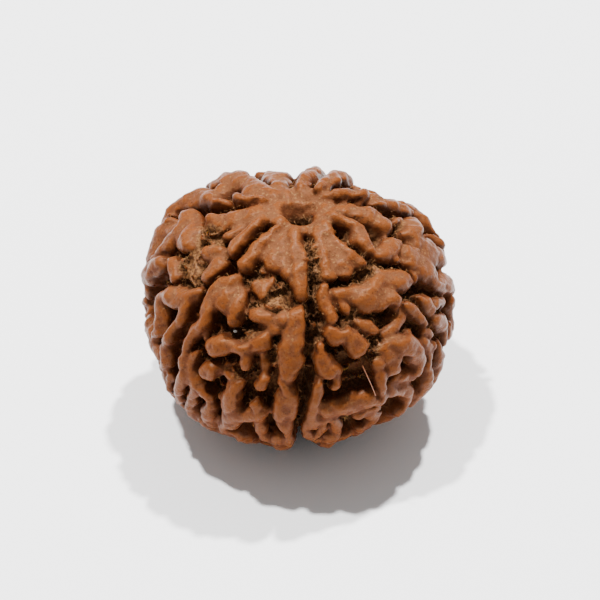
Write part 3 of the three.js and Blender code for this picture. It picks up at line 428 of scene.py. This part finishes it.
SEAM_BELOW = 0.6
SEAM_FILLET = 0.35
SEAM_SKIP = 3

# Where the stone swells over the ball or falls short of it, as [longitude, latitude, reach, rise].
SWELLS = [
    (-121, 31, 3, 0.9), (-108, 20, 3, 0.2), (-45, -31, 4, 0.45), (62, -22, 3.6, 0.55),
    (0, -40, 7, 0.35), (104, 14, 3.5, 0.25), (138, 39, 2.6, -1.3), (159, 34, 2.4, -0.9),
    (-179, 42, 1.5, -1.2), (-146, 44, 2.2, 0.5), (122, 30, 2.4, 0.5),
    (-126.7, 56.5, 0.8, -1.9),
]

# Pockets where pulp and low tissue fill the crevices, written in the same way.
FILLS = [
    (-74.8, 56.4, 1.3, 1.0), (-87, 53, 1.3, 0.9), (-73.6, 42, 1.7, 1.1), (-60.6, 40, 1.3, 0.9),
    (-11, 47.9, 1.4, 1.0), (-14, 43.7, 1.1, 1.0), (-27, 56, 1.2, 0.7), (49.9, 52.4, 1.6, 1.0),
    (12, 62.4, 0.9, 0.8), (18.6, 70.4, 0.9, 0.8), (99, 47.5, 1.1, 0.8), (-19.8, 30.6, 1.0, 0.9),
    (9.8, 65, 1.1, 1.0), (10.3, 59, 1.0, 0.8), (8, 51, 1.0, 0.7), (26, 39.4, 1.6, 0.8),
    (34, 20, 1.3, 0.9), (-8, 24, 1.2, 0.9), (-23.7, 14, 1.4, 0.7),
]
print("swells:", len(SWELLS), "and fills:", len(FILLS))

# %% Relief formula
def smooth_min(a, b, size):
    share = np.maximum(0, size - np.abs(a - b)) / size
    return np.minimum(a, b) - share * share * size / 4


def ridge_section(edge, half, top, height):
    shoulder = np.minimum(EDGE_ROUND, EDGE_SHARE * half)
    below = np.clip((top - shoulder - height) / FLOOR_DEPTH, 0, 1)
    x = edge + shoulder + ROOT_PULL * half * below
    y = height - (top - shoulder)
    return np.hypot(np.maximum(x, 0), np.maximum(y, 0)) + np.minimum(np.maximum(x, y), 0) - shoulder


def pit_field(pit, x, y, down):
    wall = np.hypot(x, y) - (pit["radius"] - pit["taper"] * down)
    return np.maximum(wall, down - pit["depth"])


def bumps(base, rows):
    rise = np.zeros(len(base))
    for longitude, latitude, reach, height in rows:
        away = np.linalg.norm(base - on_ball(longitude, latitude), axis=1)
        rise += height * np.exp(-(away / reach) ** 2)
    return rise


def read_directions(points):
    base = to_ball(points)
    slope = np.sqrt((base[:, 0] ** 2 + base[:, 1] ** 2) / RIM ** 4 + base[:, 2] ** 2 / POLE ** 4)
    warped = base + OUTLINE_WAVE * np.stack([noise(base) for noise in warp_noises], 1)
    axis = np.hypot(base[:, 0] - PIT["x"], base[:, 1] - PIT["y"])
    dimple = np.where(base[:, 2] > 0, DIMPLE["depth"] * np.exp(-(axis / DIMPLE["reach"]) ** 2), 0)
    body = BODY_WAVE * body_noise(base) + bumps(base, SWELLS) - dimple
    lift = body + KNOB * (np.hypot(knob_noise(base), KNOB_SOFTENING) - KNOB_MIDDLE)
    widen = BROADEN + OUTLINE_WAVE * outline_noise(base)
    near = []
    for sunk, stations in strokes:
        middle = stations[:, :3].mean(0)
        spread = np.linalg.norm(stations[:, :3] - middle, axis=1).max() + stations[:, 3].max()
        close = np.nonzero(((warped - middle) ** 2).sum(1) < (spread + REACH) ** 2)[0]
        edge, across, half = near_stroke(stations, warped[close])
        kept = edge < REACH
        close, edge, across, half = close[kept], edge[kept], across[kept], half[kept]
        bend = CROWNING * np.minimum(half, CROWNED_HALF) * np.minimum(1, across) ** 2
        top = lift[close] - sunk - bend
        near.append((close, edge - widen[close], half, top))
    seam = np.full(len(base), REACH)
    for stations in seam_lines:
        away = np.sqrt(((warped[:, None] - stations[None, ::SEAM_SKIP, :3]) ** 2).sum(2)).min(1)
        close = np.nonzero(away < REACH + PIECE_LENGTH)[0]
        seam[close] = np.minimum(seam[close], near_stroke(stations, warped[close])[0])
    web = 1 - np.minimum(1, WEB_NARROWNESS * np.abs(floor_noise(base)))
    floor = body - FLOOR_DEPTH + LOW_WEB * web * web + bumps(base, FILLS)
    return {"base": base, "slope": slope, "near": near, "seam": seam, "floor": floor}


def field_value(here, height):
    value = np.full(len(height), REACH)
    for close, edge, half, top in here["near"]:
        section = ridge_section(edge, half, top, height[close])
        value[close] = smooth_min(value[close], section, RIDGE_FILLET)
    value = smooth_min(value, height - here["floor"], FLOOR_FILLET)
    seam_cut = np.maximum(here["seam"], here["floor"] - SEAM_BELOW - height)
    value = -smooth_min(-value, seam_cut, SEAM_FILLET)
    x, y, z = (here["base"] * (1 + height * here["slope"])[:, None]).T
    upper = pit_field(PIT, x - PIT["x"], y - PIT["y"], POLE - DIMPLE["depth"] - z)
    value = -smooth_min(-value, upper, PIT["rim"])
    mouth = pit_field(MOUTH, x - MOUTH["x"], y - MOUTH["y"], POLE - DIMPLE["depth"] - z)
    value = -smooth_min(-value, mouth, MOUTH["rim"])
    return -smooth_min(-value, pit_field(LOWER_PIT, x, y, z + POLE), LOWER_PIT["rim"])


front = field_value(read_directions(np.array([[0, -RIM, 0]])), np.zeros(1))
print("the front of the ball is outside the stone by, in mm:", round(float(front[0]), 2))


# %% [markdown]
# ## The rough stone
# A fine ball is pressed inwards along straight lines to the middle until each of its points
# meets the relief. That can't make the overhang of a ridge, because one line meets the surface
# only once, and it leaves long thin faces on the crevice walls. So this is only the blank: the
# Remesh modifier then lays even faces over it, as a voxel skin would in sculpting.

# %% Press the ball onto the relief
START_HEIGHT = 1.6
LOWEST = -5.5
STEP = 0.08
HALVINGS = 6
NO_FLAT_SPOT = 9
BALL_CUTS = 8


def surface_heights(here):
    height = np.full(len(here["base"]), START_HEIGHT)
    done = np.zeros(len(height), bool)
    while not done.all():
        moving = (field_value(here, height) > 0) & ~done & (height > LOWEST)
        done |= ~moving
        height[moving] -= STEP
    low, high = height, height + STEP
    for _ in range(HALVINGS):
        middle = (low + high) / 2
        outside = field_value(here, middle) > 0
        high = np.where(outside, middle, high)
        low = np.where(outside, low, middle)
    return low


def get_points(mesh):
    flat = np.empty(len(mesh.vertices) * 3)
    mesh.vertices.foreach_get("co", flat)
    return flat.reshape(-1, 3)


def set_points(mesh, points):
    mesh.vertices.foreach_set("co", np.ascontiguousarray(points).ravel())
    mesh.update()


def get_normals(mesh):
    flat = np.empty(len(mesh.vertices) * 3)
    mesh.vertices.foreach_get("normal", flat)
    return flat.reshape(-1, 3)


bpy.ops.mesh.primitive_ico_sphere_add(subdivisions=BALL_CUTS, radius=1)
stone = bpy.context.object
stone.name = "seed_stone"
stone.data.name = "seed_stone"
here = read_directions(get_points(stone.data))
scale = 1 + surface_heights(here) * here["slope"]
base_z = here["base"][:, 2]
to_flat = np.where(base_z < 0, -CENTRE_HEIGHT / np.minimum(base_z, -1e-6), NO_FLAT_SPOT)
set_points(stone.data, here["base"] * np.minimum(scale, to_flat)[:, None])
print("points of the rough stone:", len(stone.data.vertices))

# %% Even out the faces
VOXEL = 0.185


def apply_modifier(piece, kind, **settings):
    bpy.context.view_layer.objects.active = piece
    modifier = piece.modifiers.new(kind.lower(), kind)
    for name, value in settings.items():
        setattr(modifier, name, value)
    bpy.ops.object.modifier_apply(modifier=modifier.name)


apply_modifier(stone, "REMESH", mode="VOXEL", voxel_size=VOXEL)
print("faces after the remesh:", len(stone.data.polygons))

# %% [markdown]
# ## Settle the skin
# Now every point of the even skin moves along its own normal by as much as the formula says it
# is off. The walls sink in under the ridges, which the straight lines could not do. Afterwards
# fine noise adds the shallow dents that the waxy surface shows between its larger knobs.

# %% Settle onto the formula
SETTLE_ROUNDS = 3
LONGEST_MOVE = 0.22
FLAT_SPOT_MARGIN = 0.3
DENT = 0.07
POCK = 0.035
dent_noise = make_noise(seed=701, wavelength=1.3)
pock_noise = make_noise(seed=801, wavelength=0.6)

for _ in range(SETTLE_ROUNDS):
    points = get_points(stone.data)
    here = read_directions(points)
    size = np.linalg.norm(points, axis=1) / np.linalg.norm(here["base"], axis=1)
    off = field_value(here, (size - 1) / here["slope"])
    points -= get_normals(stone.data) * np.clip(off, -LONGEST_MOVE, LONGEST_MOVE)[:, None]
    points[:, 2] = np.maximum(points[:, 2], -CENTRE_HEIGHT)
    set_points(stone.data, points)
dents = DENT * dent_noise(points) + POCK * pock_noise(points)
raised = points[:, 2] > -CENTRE_HEIGHT + FLAT_SPOT_MARGIN
set_points(stone.data, points + get_normals(stone.data) * (dents * raised)[:, None])
print("left off by, in mm:", round(float(np.abs(off).mean()), 4))

# %% Thin the mesh out
MOST_TRIANGLES = 190000
triangles = sum(len(face.vertices) - 2 for face in stone.data.polygons)
apply_modifier(stone, "DECIMATE", ratio=min(1, MOST_TRIANGLES / triangles))
bpy.ops.object.select_all(action="DESELECT")
stone.select_set(True)
bpy.ops.object.shade_smooth()
print("triangles:", sum(len(face.vertices) - 2 for face in stone.data.polygons))

# %% [markdown]
# ## What each point knows about itself
# The colour given to the stone follows its shape: wax and wear show orange on the shoulders of
# the ridges, with a painted glow added there, pale dust and a painted sheen lie where they face
# up, painted shade darkens the steep walls, and dirt and painted shade darken what is deep and
# closed in.
# Materials can only read what a point carries, so six numbers are worked out for each point and
# kept as attributes: its depth, how sheltered it is, how sharply it bulges, how far it faces up,
# how steeply it falls away, and whether it lies in a pocket of packed pulp.

# %% Attribute helpers
points = get_points(stone.data)
normals = get_normals(stone.data)
ends = np.empty(len(stone.data.edges) * 2, np.int64)
stone.data.edges.foreach_get("vertices", ends)
ends = ends.reshape(-1, 2)


def spread_out(values, rounds):
    for _ in range(rounds):
        total = np.zeros_like(values)
        count = np.zeros(len(values))
        for a, b in ((0, 1), (1, 0)):
            np.add.at(total, ends[:, a], values[ends[:, b]])
            np.add.at(count, ends[:, a], 1)
        mean = total / np.maximum(count, 1).reshape(-1, *[1] * (values.ndim - 1))
        values = (values + mean) / 2
    return values


def keep(mesh, name, values):
    attribute = mesh.attributes.new(name, "FLOAT", "POINT")
    attribute.data.foreach_set("value", values.astype(np.float32))


print("edges that values spread along:", len(ends))

# %% Depth, bulge, slope and pockets
DEEPEST = 1.6
BULGE_ROUNDS = 8
BULGE_GAIN = 8
UPWARD_ROUNDS = 3
POCKET_GAIN = 2

base = to_ball(points)
depth = (1 - np.linalg.norm(points, axis=1) / np.linalg.norm(base, axis=1)) * RIM
bulge = ((points - spread_out(points, BULGE_ROUNDS)) * normals).sum(1)
outward = base / BALL ** 2
outward /= np.linalg.norm(outward, axis=1, keepdims=True)
pocket = bumps(base, FILLS)
keep(stone.data, "depth", np.clip(depth / FLOOR_DEPTH, 0, DEEPEST))
keep(stone.data, "bulge", np.clip(0.5 + bulge * BULGE_GAIN, 0, 1))
keep(stone.data, "upward", spread_out(normals[:, 2], UPWARD_ROUNDS))
keep(stone.data, "steep", 1 - np.clip((normals * outward).sum(1), 0, 1))
keep(stone.data, "pocket", np.clip(pocket, 0, 1) * np.clip(depth * POCKET_GAIN, 0, 1))
print("bulge in mm:", np.round(np.percentile(bulge, [5, 50, 95]), 3))

# %% Shelter
# Rays leave each point in many directions, and the share that meets the stone is its shelter.
SHELTER_RAYS = 16
SHELTER_REACH = 3.5
SHELTER_ROUNDS = 2
RAY_SPREAD = 0.95
RAY_LIFT = 0.05
rng = np.random.default_rng(7)

stone.data.calc_loop_triangles()
corners = np.empty(len(stone.data.loop_triangles) * 3, np.int64)
stone.data.loop_triangles.foreach_get("vertices", corners)
tree = BVHTree.FromPolygons(points.tolist(), corners.reshape(-1, 3).tolist())
shelter = np.zeros(len(points))
spin = rng.normal(size=(SHELTER_RAYS, 3))
spin /= np.linalg.norm(spin, axis=1, keepdims=True)
for ray in spin:
    aims = normals + RAY_SPREAD * ray
    starts = points + normals * RAY_LIFT
    for i, (start, aim) in enumerate(zip(starts.tolist(), aims.tolist())):
        hit = tree.ray_cast(start, aim, SHELTER_REACH)
        if hit[0] is not None:
            shelter[i] += 1 / SHELTER_RAYS
shelter = spread_out(shelter, SHELTER_ROUNDS)
keep(stone.data, "shelter", shelter)
print("shelter from", round(shelter.min(), 2), "to", round(shelter.max(), 2))

# %% Bring the stone to its place
stone_points = points + [0, 0, CENTRE_HEIGHT]
set_points(stone.data, stone_points * MM)
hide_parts("seed")
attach(stone, "root")
print("the stone's lowest and highest point, in mm:", np.round(stone_points[:, 2].min(), 3),
      np.round(stone_points[:, 2].max(), 3))

# %% [markdown]
# ## Crumbs of dried pulp
# The fruit's flesh dries to tan crumbs and short fibres, a fraction of a millimetre long, that
# stay in the crevices and in the stalk pit. They could be painted as specks, but next to the
# sharp light of the photograph only real grains cast the tiny shadows that make the crevices
# look gritty. One rough grain and one bowed fibre are made and repeated, turned and scaled,
# wherever the stone is sheltered and faces up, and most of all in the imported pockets.

# %% Shapes of a grain and a fibre
# The grain has a radius of about 1 and the fibre a length of 1, and each is scaled to its size
# in millimetres when it is scattered.
GRAIN_ROUGHNESS = 0.3
FIBRE_RINGS = 4
FIBRE_SIDES = 3
FIBRE_THICKNESS = 0.04
FIBRE_BOW = 0.6


def grain_shape():
    bpy.ops.mesh.primitive_ico_sphere_add(subdivisions=1, radius=1)
    grain = bpy.context.object
    shape = get_points(grain.data)
    shape *= 1 + GRAIN_ROUGHNESS * rng.normal(size=(len(shape), 1))
    faces = [list(face.vertices) for face in grain.data.polygons]
    bpy.data.objects.remove(grain)
    return shape, np.array(faces)


def fibre_shape():
    along = np.repeat(np.linspace(-0.5, 0.5, FIBRE_RINGS), FIBRE_SIDES)
    turn = np.tile(np.arange(FIBRE_SIDES) * 2 * math.pi / FIBRE_SIDES, FIBRE_RINGS)
    bow = FIBRE_BOW * (0.25 - along ** 2)
    shape = np.stack([along, bow + np.cos(turn) * FIBRE_THICKNESS, np.sin(turn) * FIBRE_THICKNESS], 1)
    last = FIBRE_SIDES * (FIBRE_RINGS - 1)
    faces = [[0, 2, 1], [last, last + 1, last + 2]]
    for ring in range(0, last, FIBRE_SIDES):
        for side in range(FIBRE_SIDES):
            a, b = ring + side, ring + (side + 1) % FIBRE_SIDES
            faces += [[a, b, b + FIBRE_SIDES], [a, b + FIBRE_SIDES, a + FIBRE_SIDES]]
    return shape, np.array(faces)


print("faces of a fibre:", len(fibre_shape()[1]))

# %% Where crumbs lie
# The chance of a crumb grows with shelter, and with the height on the stone. Packed pockets
# get most, and the stalk pit has a rule of its own.
LEAN_ALLOWED = 0.25
BARE_BELOW = 6
COVER_SPAN = 9
LEAST_COVER = 0.08
PATCH_LEVEL = 0.35
PATCH_CONTRAST = 0.9
LEAST_PATCH = 0.03
LEAST_SHELTER = 0.36
SHELTER_POWER = 1.2
OPEN_SHARE = 0.35
POCKET_SHARE = 1.6
PIT_SHARE = 0.4
PIT_LEAST_SHELTER = 0.6
PIT_ZONE = {"radius": 1.9, "above": 4}
patch_noise = make_noise(seed=901, wavelength=4.2)

lying = np.clip(normals[:, 2] + LEAN_ALLOWED, 0, 1)
crown = np.clip((stone_points[:, 2] - BARE_BELOW) / COVER_SPAN, LEAST_COVER, 1)
patch = np.clip(PATCH_LEVEL + PATCH_CONTRAST * patch_noise(points), LEAST_PATCH, 1)
from_pit = np.hypot(points[:, 0] - PIT["x"], points[:, 1] - PIT["y"])
in_pit = (from_pit < PIT_ZONE["radius"]) & (points[:, 2] > PIT_ZONE["above"])
wanted = crown * patch * OPEN_SHARE + pocket * POCKET_SHARE
chance = np.clip(shelter - LEAST_SHELTER, 0, 1) ** SHELTER_POWER * lying * wanted
chance[in_pit] = PIT_SHARE * np.clip(shelter[in_pit] - PIT_LEAST_SHELTER, 0, 1)
chance /= chance.sum()
print("share of the crumbs that lands in the pit:", round(float(chance[in_pit].sum()), 3))

# %% Scatter the grains and fibres
GRAINS = 4000
GRAIN_SIZES = (0.025, 0.075)
BIG_GRAIN_SHARE = 0.08
BIG_GRAIN_SCALE = 1.6
GRAIN_LIFT = 0.3
FIBRES = 3600
FIBRE_LENGTHS = (0.2, 0.6)
FIBRE_LIFT = 0.12
DARKEST_FIBRE = 0.4


def random_turns(count):
    q = rng.normal(size=(count, 4))
    w, x, y, z = (q / np.linalg.norm(q, axis=1, keepdims=True)).T
    return np.stack([1 - 2 * (y * y + z * z), 2 * (x * y - z * w), 2 * (x * z + y * w),
                     2 * (x * y + z * w), 1 - 2 * (x * x + z * z), 2 * (y * z - x * w),
                     2 * (x * z - y * w), 2 * (y * z + x * w), 1 - 2 * (x * x + y * y)],
                    1).reshape(-1, 3, 3)


def scatter(shape, faces, sizes, lift):
    count = len(sizes)
    chosen = rng.choice(len(points), count, replace=False, p=chance)
    turned = np.einsum("gij,vj->gvi", random_turns(count), shape)
    homes = stone_points[chosen] + normals[chosen] * (lift * sizes)[:, None]
    placed = (turned * sizes[:, None, None] + homes[:, None]).reshape(-1, 3)
    joined = (faces[None] + (np.arange(count) * len(shape))[:, None, None]).reshape(-1, 3)
    return placed, joined


grain_sizes = rng.uniform(*GRAIN_SIZES, size=GRAINS)
grain_sizes *= np.where(rng.random(GRAINS) < BIG_GRAIN_SHARE, BIG_GRAIN_SCALE, 1)
grain_points, grain_faces = scatter(*grain_shape(), grain_sizes, GRAIN_LIFT)
fibre_lengths = rng.uniform(*FIBRE_LENGTHS, size=FIBRES)
fibre_points, fibre_faces = scatter(*fibre_shape(), fibre_lengths, FIBRE_LIFT)
grain_shades = rng.random(GRAINS)
fibre_shades = DARKEST_FIBRE + (1 - DARKEST_FIBRE) * rng.random(FIBRES)
shades = np.concatenate([np.repeat(grain_shades, len(grain_points) // GRAINS),
                         np.repeat(fibre_shades, len(fibre_points) // FIBRES)])
grain_faces = np.concatenate([grain_faces, fibre_faces + len(grain_points)])
grain_points = np.concatenate([grain_points, fibre_points])
crumb_mesh = bpy.data.meshes.new("pulp_crumbs")
crumb_mesh.from_pydata((grain_points * MM).tolist(), [], grain_faces.tolist())
keep(crumb_mesh, "grain", shades)
crumbs = bpy.data.objects.new("pulp_crumbs", crumb_mesh)
bpy.context.scene.collection.objects.link(crumbs)
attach(crumbs, "root")
print("grains and fibres:", GRAINS + FIBRES, "with", len(grain_faces), "faces")

# %% [markdown]
# ## Shader helpers
# A material's sums are easier to read as Python than as a tree of nodes. One small class wraps
# a socket and turns +, - and * into Math nodes. Everything else comes from one method, which
# makes a node of a type, gives it its settings and then its values or links.

# %% Shader helpers
class Socket:
    def __init__(self, tree, socket):
        self.tree = tree
        self.socket = socket

    def math(self, operation, other):
        return self.tree.node("ShaderNodeMath", {"operation": operation}, {0: self, 1: other})

    def __add__(self, other):
        return self.math("ADD", other)

    def __sub__(self, other):
        return self.math("SUBTRACT", other)

    def __rsub__(self, other):
        return self.tree.node("ShaderNodeMath", {"operation": "SUBTRACT"}, {0: other, 1: self})

    def __mul__(self, other):
        return self.math("MULTIPLY", other)

    __radd__ = __add__
    __rmul__ = __mul__

    def between(self, low, high):
        settings = {"interpolation_type": "SMOOTHSTEP"}
        return self.tree.node("ShaderNodeMapRange", settings, {0: self, 1: low, 2: high})


class Finish:
    def __init__(self, name):
        self.material = bpy.data.materials.new(name)
        self.material.use_nodes = True
        self.nodes = self.material.node_tree.nodes
        self.links = self.material.node_tree.links
        self.shader = self.nodes["Principled BSDF"]

    def plug(self, target, value):
        if isinstance(value, Socket):
            self.links.new(value.socket, target)
        else:
            target.default_value = value

    def node(self, kind, settings=None, values=None, out=0):
        node = self.nodes.new(kind)
        for name, value in (settings or {}).items():
            setattr(node, name, value)
        for key, value in (values or {}).items():
            self.plug(node.inputs[key], value)
        return Socket(self, node.outputs[out])

    def number(self, name):
        return self.node("ShaderNodeAttribute", {"attribute_name": name}, out="Fac")

    def place(self):
        return self.node("ShaderNodeTexCoord", out="Object")

    def noise(self, scale, detail=3, roughness=0.55):
        values = {"Vector": self.place(), "Scale": scale, "Detail": detail, "Roughness": roughness}
        return self.node("ShaderNodeTexNoise", values=values)

    def mix(self, share, first, second):
        values = {0: share, 6: first, 7: second}
        return self.node("ShaderNodeMix", {"data_type": "RGBA"}, values, out=2)

    def set(self, name, value):
        self.plug(self.shader.inputs[name], value)


# A colour as a screen shows it, 0 to 255, turned into the linear light that materials use.
def tint(red, green, blue):
    def linear(level):
        part = level / 255
        return part / 12.92 if part <= 0.04045 else ((part + 0.055) / 1.055) ** 2.4

    return (linear(red), linear(green), linear(blue), 1)


print("an orange of 190, 115, 65 in linear light:", [round(c, 3) for c in tint(190, 115, 65)])

# %% [markdown]
# ## The woody skin
# The ridges have a waxy, slightly translucent skin: orange-brown on their shoulders, where the
# worn wax also carries a painted glow, with a paler, dusty bloom where they face up that also
# paints a sheen, darker and redder down the walls with painted shade, brown with dirt and
# painted shade in the crevices, and straw-coloured where pulp is packed. Tiny pores and pale
# specks, partly painted glints, break it up, and its shoulders shine softly where it has been
# handled. A flat colour would look like plastic, so the colour is built in layers that follow
# the attributes, the gloss drops where there is dust or dirt, and a thin coat adds the shine on
# the shoulders.

# %% Skin colours
WAX_BROWN = tint(76, 36, 19)
WAX_PALER = tint(90, 48, 26)
# The next four colours also paint light: a glow on the shoulders, a sheen on the tops, glints in the
# specks, and shade on walls and in crevices.
SHOULDER_ORANGE_AND_GLOW = tint(108, 57, 21)
DUST_AND_SHEEN_TINT = tint(97, 60, 37)
PALE_SPECK_AND_GLINT = tint(138, 98, 60)
WALL_SHADE_RED = tint(58, 26, 12)
DIRT_AND_SHADE_DARK = tint(72, 45, 28)
DIRT_AND_SHADE_PALE = tint(104, 70, 44)
PACKED_DARK = tint(56, 34, 19)
PACKED_LIGHT = tint(112, 76, 46)
PORE_BROWN = tint(46, 22, 9)
WARM_SHINE = (1.0, 0.7, 0.45, 1)
GLOW_REACH = (0.0009, 0.0004, 0.0002)
print("the shoulders' orange in linear light:", [round(c, 3) for c in SHOULDER_ORANGE_AND_GLOW])

# %% Skin material
skin = Finish("waxy_ridge_skin")
depth_number = skin.number("depth")
shelter_number = skin.number("shelter")
bulge_number = skin.number("bulge")
upward_number = skin.number("upward")
steep_number = skin.number("steep")
pocket_number = skin.number("pocket")
patches = skin.noise(150, 2)
cloud = skin.noise(380, 3)
mottle = skin.noise(900, 4, 0.65)
speck = skin.noise(3800, 3, 0.6)
fine = skin.noise(6500, 2, 0.6)

# The skin colour is built in layers, and several of them are painted light, as marked below.
wax = skin.mix(cloud.between(0.3, 0.7), WAX_BROWN, WAX_PALER)
shoulder = (bulge_number + (mottle - 0.5) * 0.2).between(0.5, 0.95)
# Orange on the shoulders: worn wax, with a painted glow of light through the translucent skin.
wax = skin.mix(shoulder * 0.7, wax, SHOULDER_ORANGE_AND_GLOW)
# Paler where the ridges face up: settled dust, and a painted sheen of the light from above.
dust_and_sheen = upward_number + (mottle - 0.5) * 0.4 + (patches - 0.5) * 1.5
dust_and_sheen_cover = dust_and_sheen.between(0.1, 1.1) * (1 - shoulder * 0.75)
wax = skin.mix(dust_and_sheen_cover * 0.85, wax, DUST_AND_SHEEN_TINT)
# Pale specks: pale grains, and painted glints.
pale_speck_and_glint = speck.between(0.55, 0.66) * (dust_and_sheen_cover * 0.9 + 0.2)
wax = skin.mix(pale_speck_and_glint * 0.5, wax, PALE_SPECK_AND_GLINT)
# Painted shade: darker and redder on steep walls and where the stone is sheltered, where shade falls.
wall = (steep_number * 0.9 + shelter_number * 0.6 + (mottle - 0.5) * 0.25).between(0.2, 0.95)
wax = skin.mix(wall * 0.8, wax, WALL_SHADE_RED)
# Dirt in the deep, sheltered crevices, with painted shade in the same places.
dirt_and_shade = (depth_number * 0.35 + shelter_number * 0.7 + (speck - 0.5) * 0.3).between(0.6, 1.0)
wax = skin.mix(dirt_and_shade * 0.9, wax, skin.mix(speck.between(0.4, 0.6), DIRT_AND_SHADE_DARK, DIRT_AND_SHADE_PALE))
straw = skin.mix(speck.between(0.42, 0.58), PACKED_DARK, PACKED_LIGHT)
packed = (pocket_number + (mottle - 0.5) * 0.9 + (speck - 0.5) * 0.6).between(0.5, 0.85)
wax = skin.mix(packed * 0.85, wax, straw)
pores = (1 - fine.between(0.32, 0.42)) * 0.6
skin.set("Base Color", skin.mix(pores, wax, PORE_BROWN))
gloss_loss = dust_and_sheen_cover * 0.16 + dirt_and_shade * 0.35 + (mottle - 0.5) * 0.25
skin.set("Roughness", 0.6 - shoulder * 0.3 + gloss_loss)
skin.set("Coat Weight", shoulder * (1 - dirt_and_shade) * 0.09)
skin.set("Coat Roughness", 0.32)
skin.set("Coat IOR", 1.25)
skin.set("Specular Tint", WARM_SHINE)
bump_height = mottle * 0.5 + speck * 0.35 + fine * 0.15
skin.set("Normal", skin.node("ShaderNodeBump", values={
    "Strength": 0.9, "Distance": 0.00018, "Height": bump_height}))
skin.set("IOR", 1.13)
skin.set("Specular IOR Level", 1.0)
skin.set("Subsurface Weight", 0.12)
skin.set("Subsurface Radius", GLOW_REACH)
skin.set("Subsurface Scale", 1.0)
stone.data.materials.append(skin.material)
print("skin nodes:", len(skin.nodes))

# %% [markdown]
# ## The pulp
# The crumbs and fibres are dry and matt, from dark brown to straw. One number for each chooses
# its shade, so neighbours differ the way a pinch of real debris does. The fibres get the paler
# end of the scale.

# %% Crumb material
PULP_DARK = tint(52, 32, 19)
PULP_TAN = tint(88, 58, 35)
PULP_STRAW = tint(124, 86, 52)

pulp = Finish("dried_pulp")
grain_number = pulp.number("grain")
pulp_colour = pulp.mix(grain_number.between(0.0, 0.6), PULP_DARK, PULP_TAN)
pulp.set("Base Color", pulp.mix(grain_number.between(0.6, 1.0), pulp_colour, PULP_STRAW))
pulp.set("Roughness", 0.85)
pulp.set("Specular IOR Level", 0.1)
crumbs.data.materials.append(pulp.material)
print("pulp nodes:", len(pulp.nodes))

# %% [markdown]
# ## A hair and a painted bright spot
# One thin plant hair hangs over the front right face, and one small white ball, a painted bright
# spot of light, sits deep in a crevice of the front left face. The hair is a curve with a round
# bevel, turned into a mesh. The white ball lies on a line of sight from the camera, a little in
# front of where that line meets the stone.

# %% Hair and painted bright spot
HAIR = [(24.6, 18.5, 0.25), (25.2, 15, 0.45), (26.4, 10.6, 0.4), (27.8, 5.5, 0.3), (28.9, 1.5, 0.05)]
HAIR_RADIUS = 0.03
BRIGHT_SPOT_RADIUS = 0.14
BRIGHT_SPOT_SIGHT = (-26.6, 32.2)
BRIGHT_SPOT_RISE = 0.4
BRIGHT_SPOT_SHAPE = (1.3, 0.8, 1.0)

bpy.ops.curve.primitive_nurbs_path_add(location=(0, 0, 0))
hair = bpy.context.object
hair.name = "plant_hair"
for place, (longitude, latitude, height) in zip(hair.data.splines[0].points, HAIR):
    at = np.array(on_ball(longitude, latitude)) * (1 + height / RIM)
    place.co = (*((at + [0, 0, CENTRE_HEIGHT]) * MM), 1)
hair.data.bevel_depth = HAIR_RADIUS * MM
hair.data.bevel_resolution = 1
hair.data.resolution_u = 5
hair.data.use_fill_caps = True
bpy.ops.object.convert(target="MESH")
hair = bpy.context.object
hair_skin = Finish("plant_hair")
hair_skin.set("Base Color", tint(150, 88, 52))
hair_skin.set("Roughness", 0.4)
hair.data.materials.append(hair_skin.material)

# A small white ball painted in as a bright spot of light deep in a crevice.
sight = (np.array(on_ball(*BRIGHT_SPOT_SIGHT)) + [0, 0, CENTRE_HEIGHT]) * MM
start = camera.location
hit, found, _, _ = stone.ray_cast(start, Vector(sight) - start)
bpy.ops.mesh.primitive_ico_sphere_add(subdivisions=1, radius=BRIGHT_SPOT_RADIUS * MM)
grain = bpy.context.object
grain.name = "painted_bright_spot"
resting = found.lerp(Vector(sight), BRIGHT_SPOT_RISE)
set_points(grain.data, get_points(grain.data) * BRIGHT_SPOT_SHAPE + np.array(resting))
bright_spot_white = Finish("painted_bright_spot")
bright_spot_white.set("Base Color", tint(216, 214, 208))
bright_spot_white.set("Roughness", 0.3)
grain.data.materials.append(bright_spot_white.material)
for piece in (hair, grain):
    piece.select_set(False)
    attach(piece, "root")
print("the grain was found:", hit, "hair faces:", len(hair.data.polygons))

# %% [markdown]
# ## Floor and light
# The seed stands on a plain white sweep. Its shadow falls forwards in two overlapping blobs
# with fairly sharp edges, so two smallish lamps stand high behind it, one to the right and one
# to the left, and an even light fills in from all round.

# %% Floor and lamps
LAMP_DISTANCE = 0.6
LAMP_SIZE = 0.03
LAMPS = [((0.203, 0.332, 0.92), 8.6), ((-0.278, 0.09, 0.951), 7.9)]
FILL = 0.48
FLOOR_SIZE = 1.2
PAPER_WHITE = (0.9, 0.9, 0.905, 1)

bpy.ops.mesh.primitive_plane_add(size=FLOOR_SIZE, location=(0, 0, 0))
floor = bpy.context.object
floor.name = "floor"
paper = Finish("white_sweep")
paper.set("Base Color", PAPER_WHITE)
paper.set("Roughness", 0.9)
paper.set("Specular IOR Level", 0.1)
floor.data.materials.append(paper.material)

for direction, power in LAMPS:
    away = Vector(direction).normalized()
    bpy.ops.object.light_add(type="AREA", location=centre + away * LAMP_DISTANCE)
    lamp = bpy.context.object
    lamp.rotation_euler = away.to_track_quat("Z", "Y").to_euler()
    lamp.data.shape = "DISK"
    lamp.data.size = LAMP_SIZE
    lamp.data.energy = power

sky = bpy.data.worlds.new("even_fill")
sky.use_nodes = True
sky.node_tree.nodes["Background"].inputs["Color"].default_value = (1, 1, 1, 1)
sky.node_tree.nodes["Background"].inputs["Strength"].default_value = FILL
bpy.context.scene.world = sky
print("lamps:", len(LAMPS))
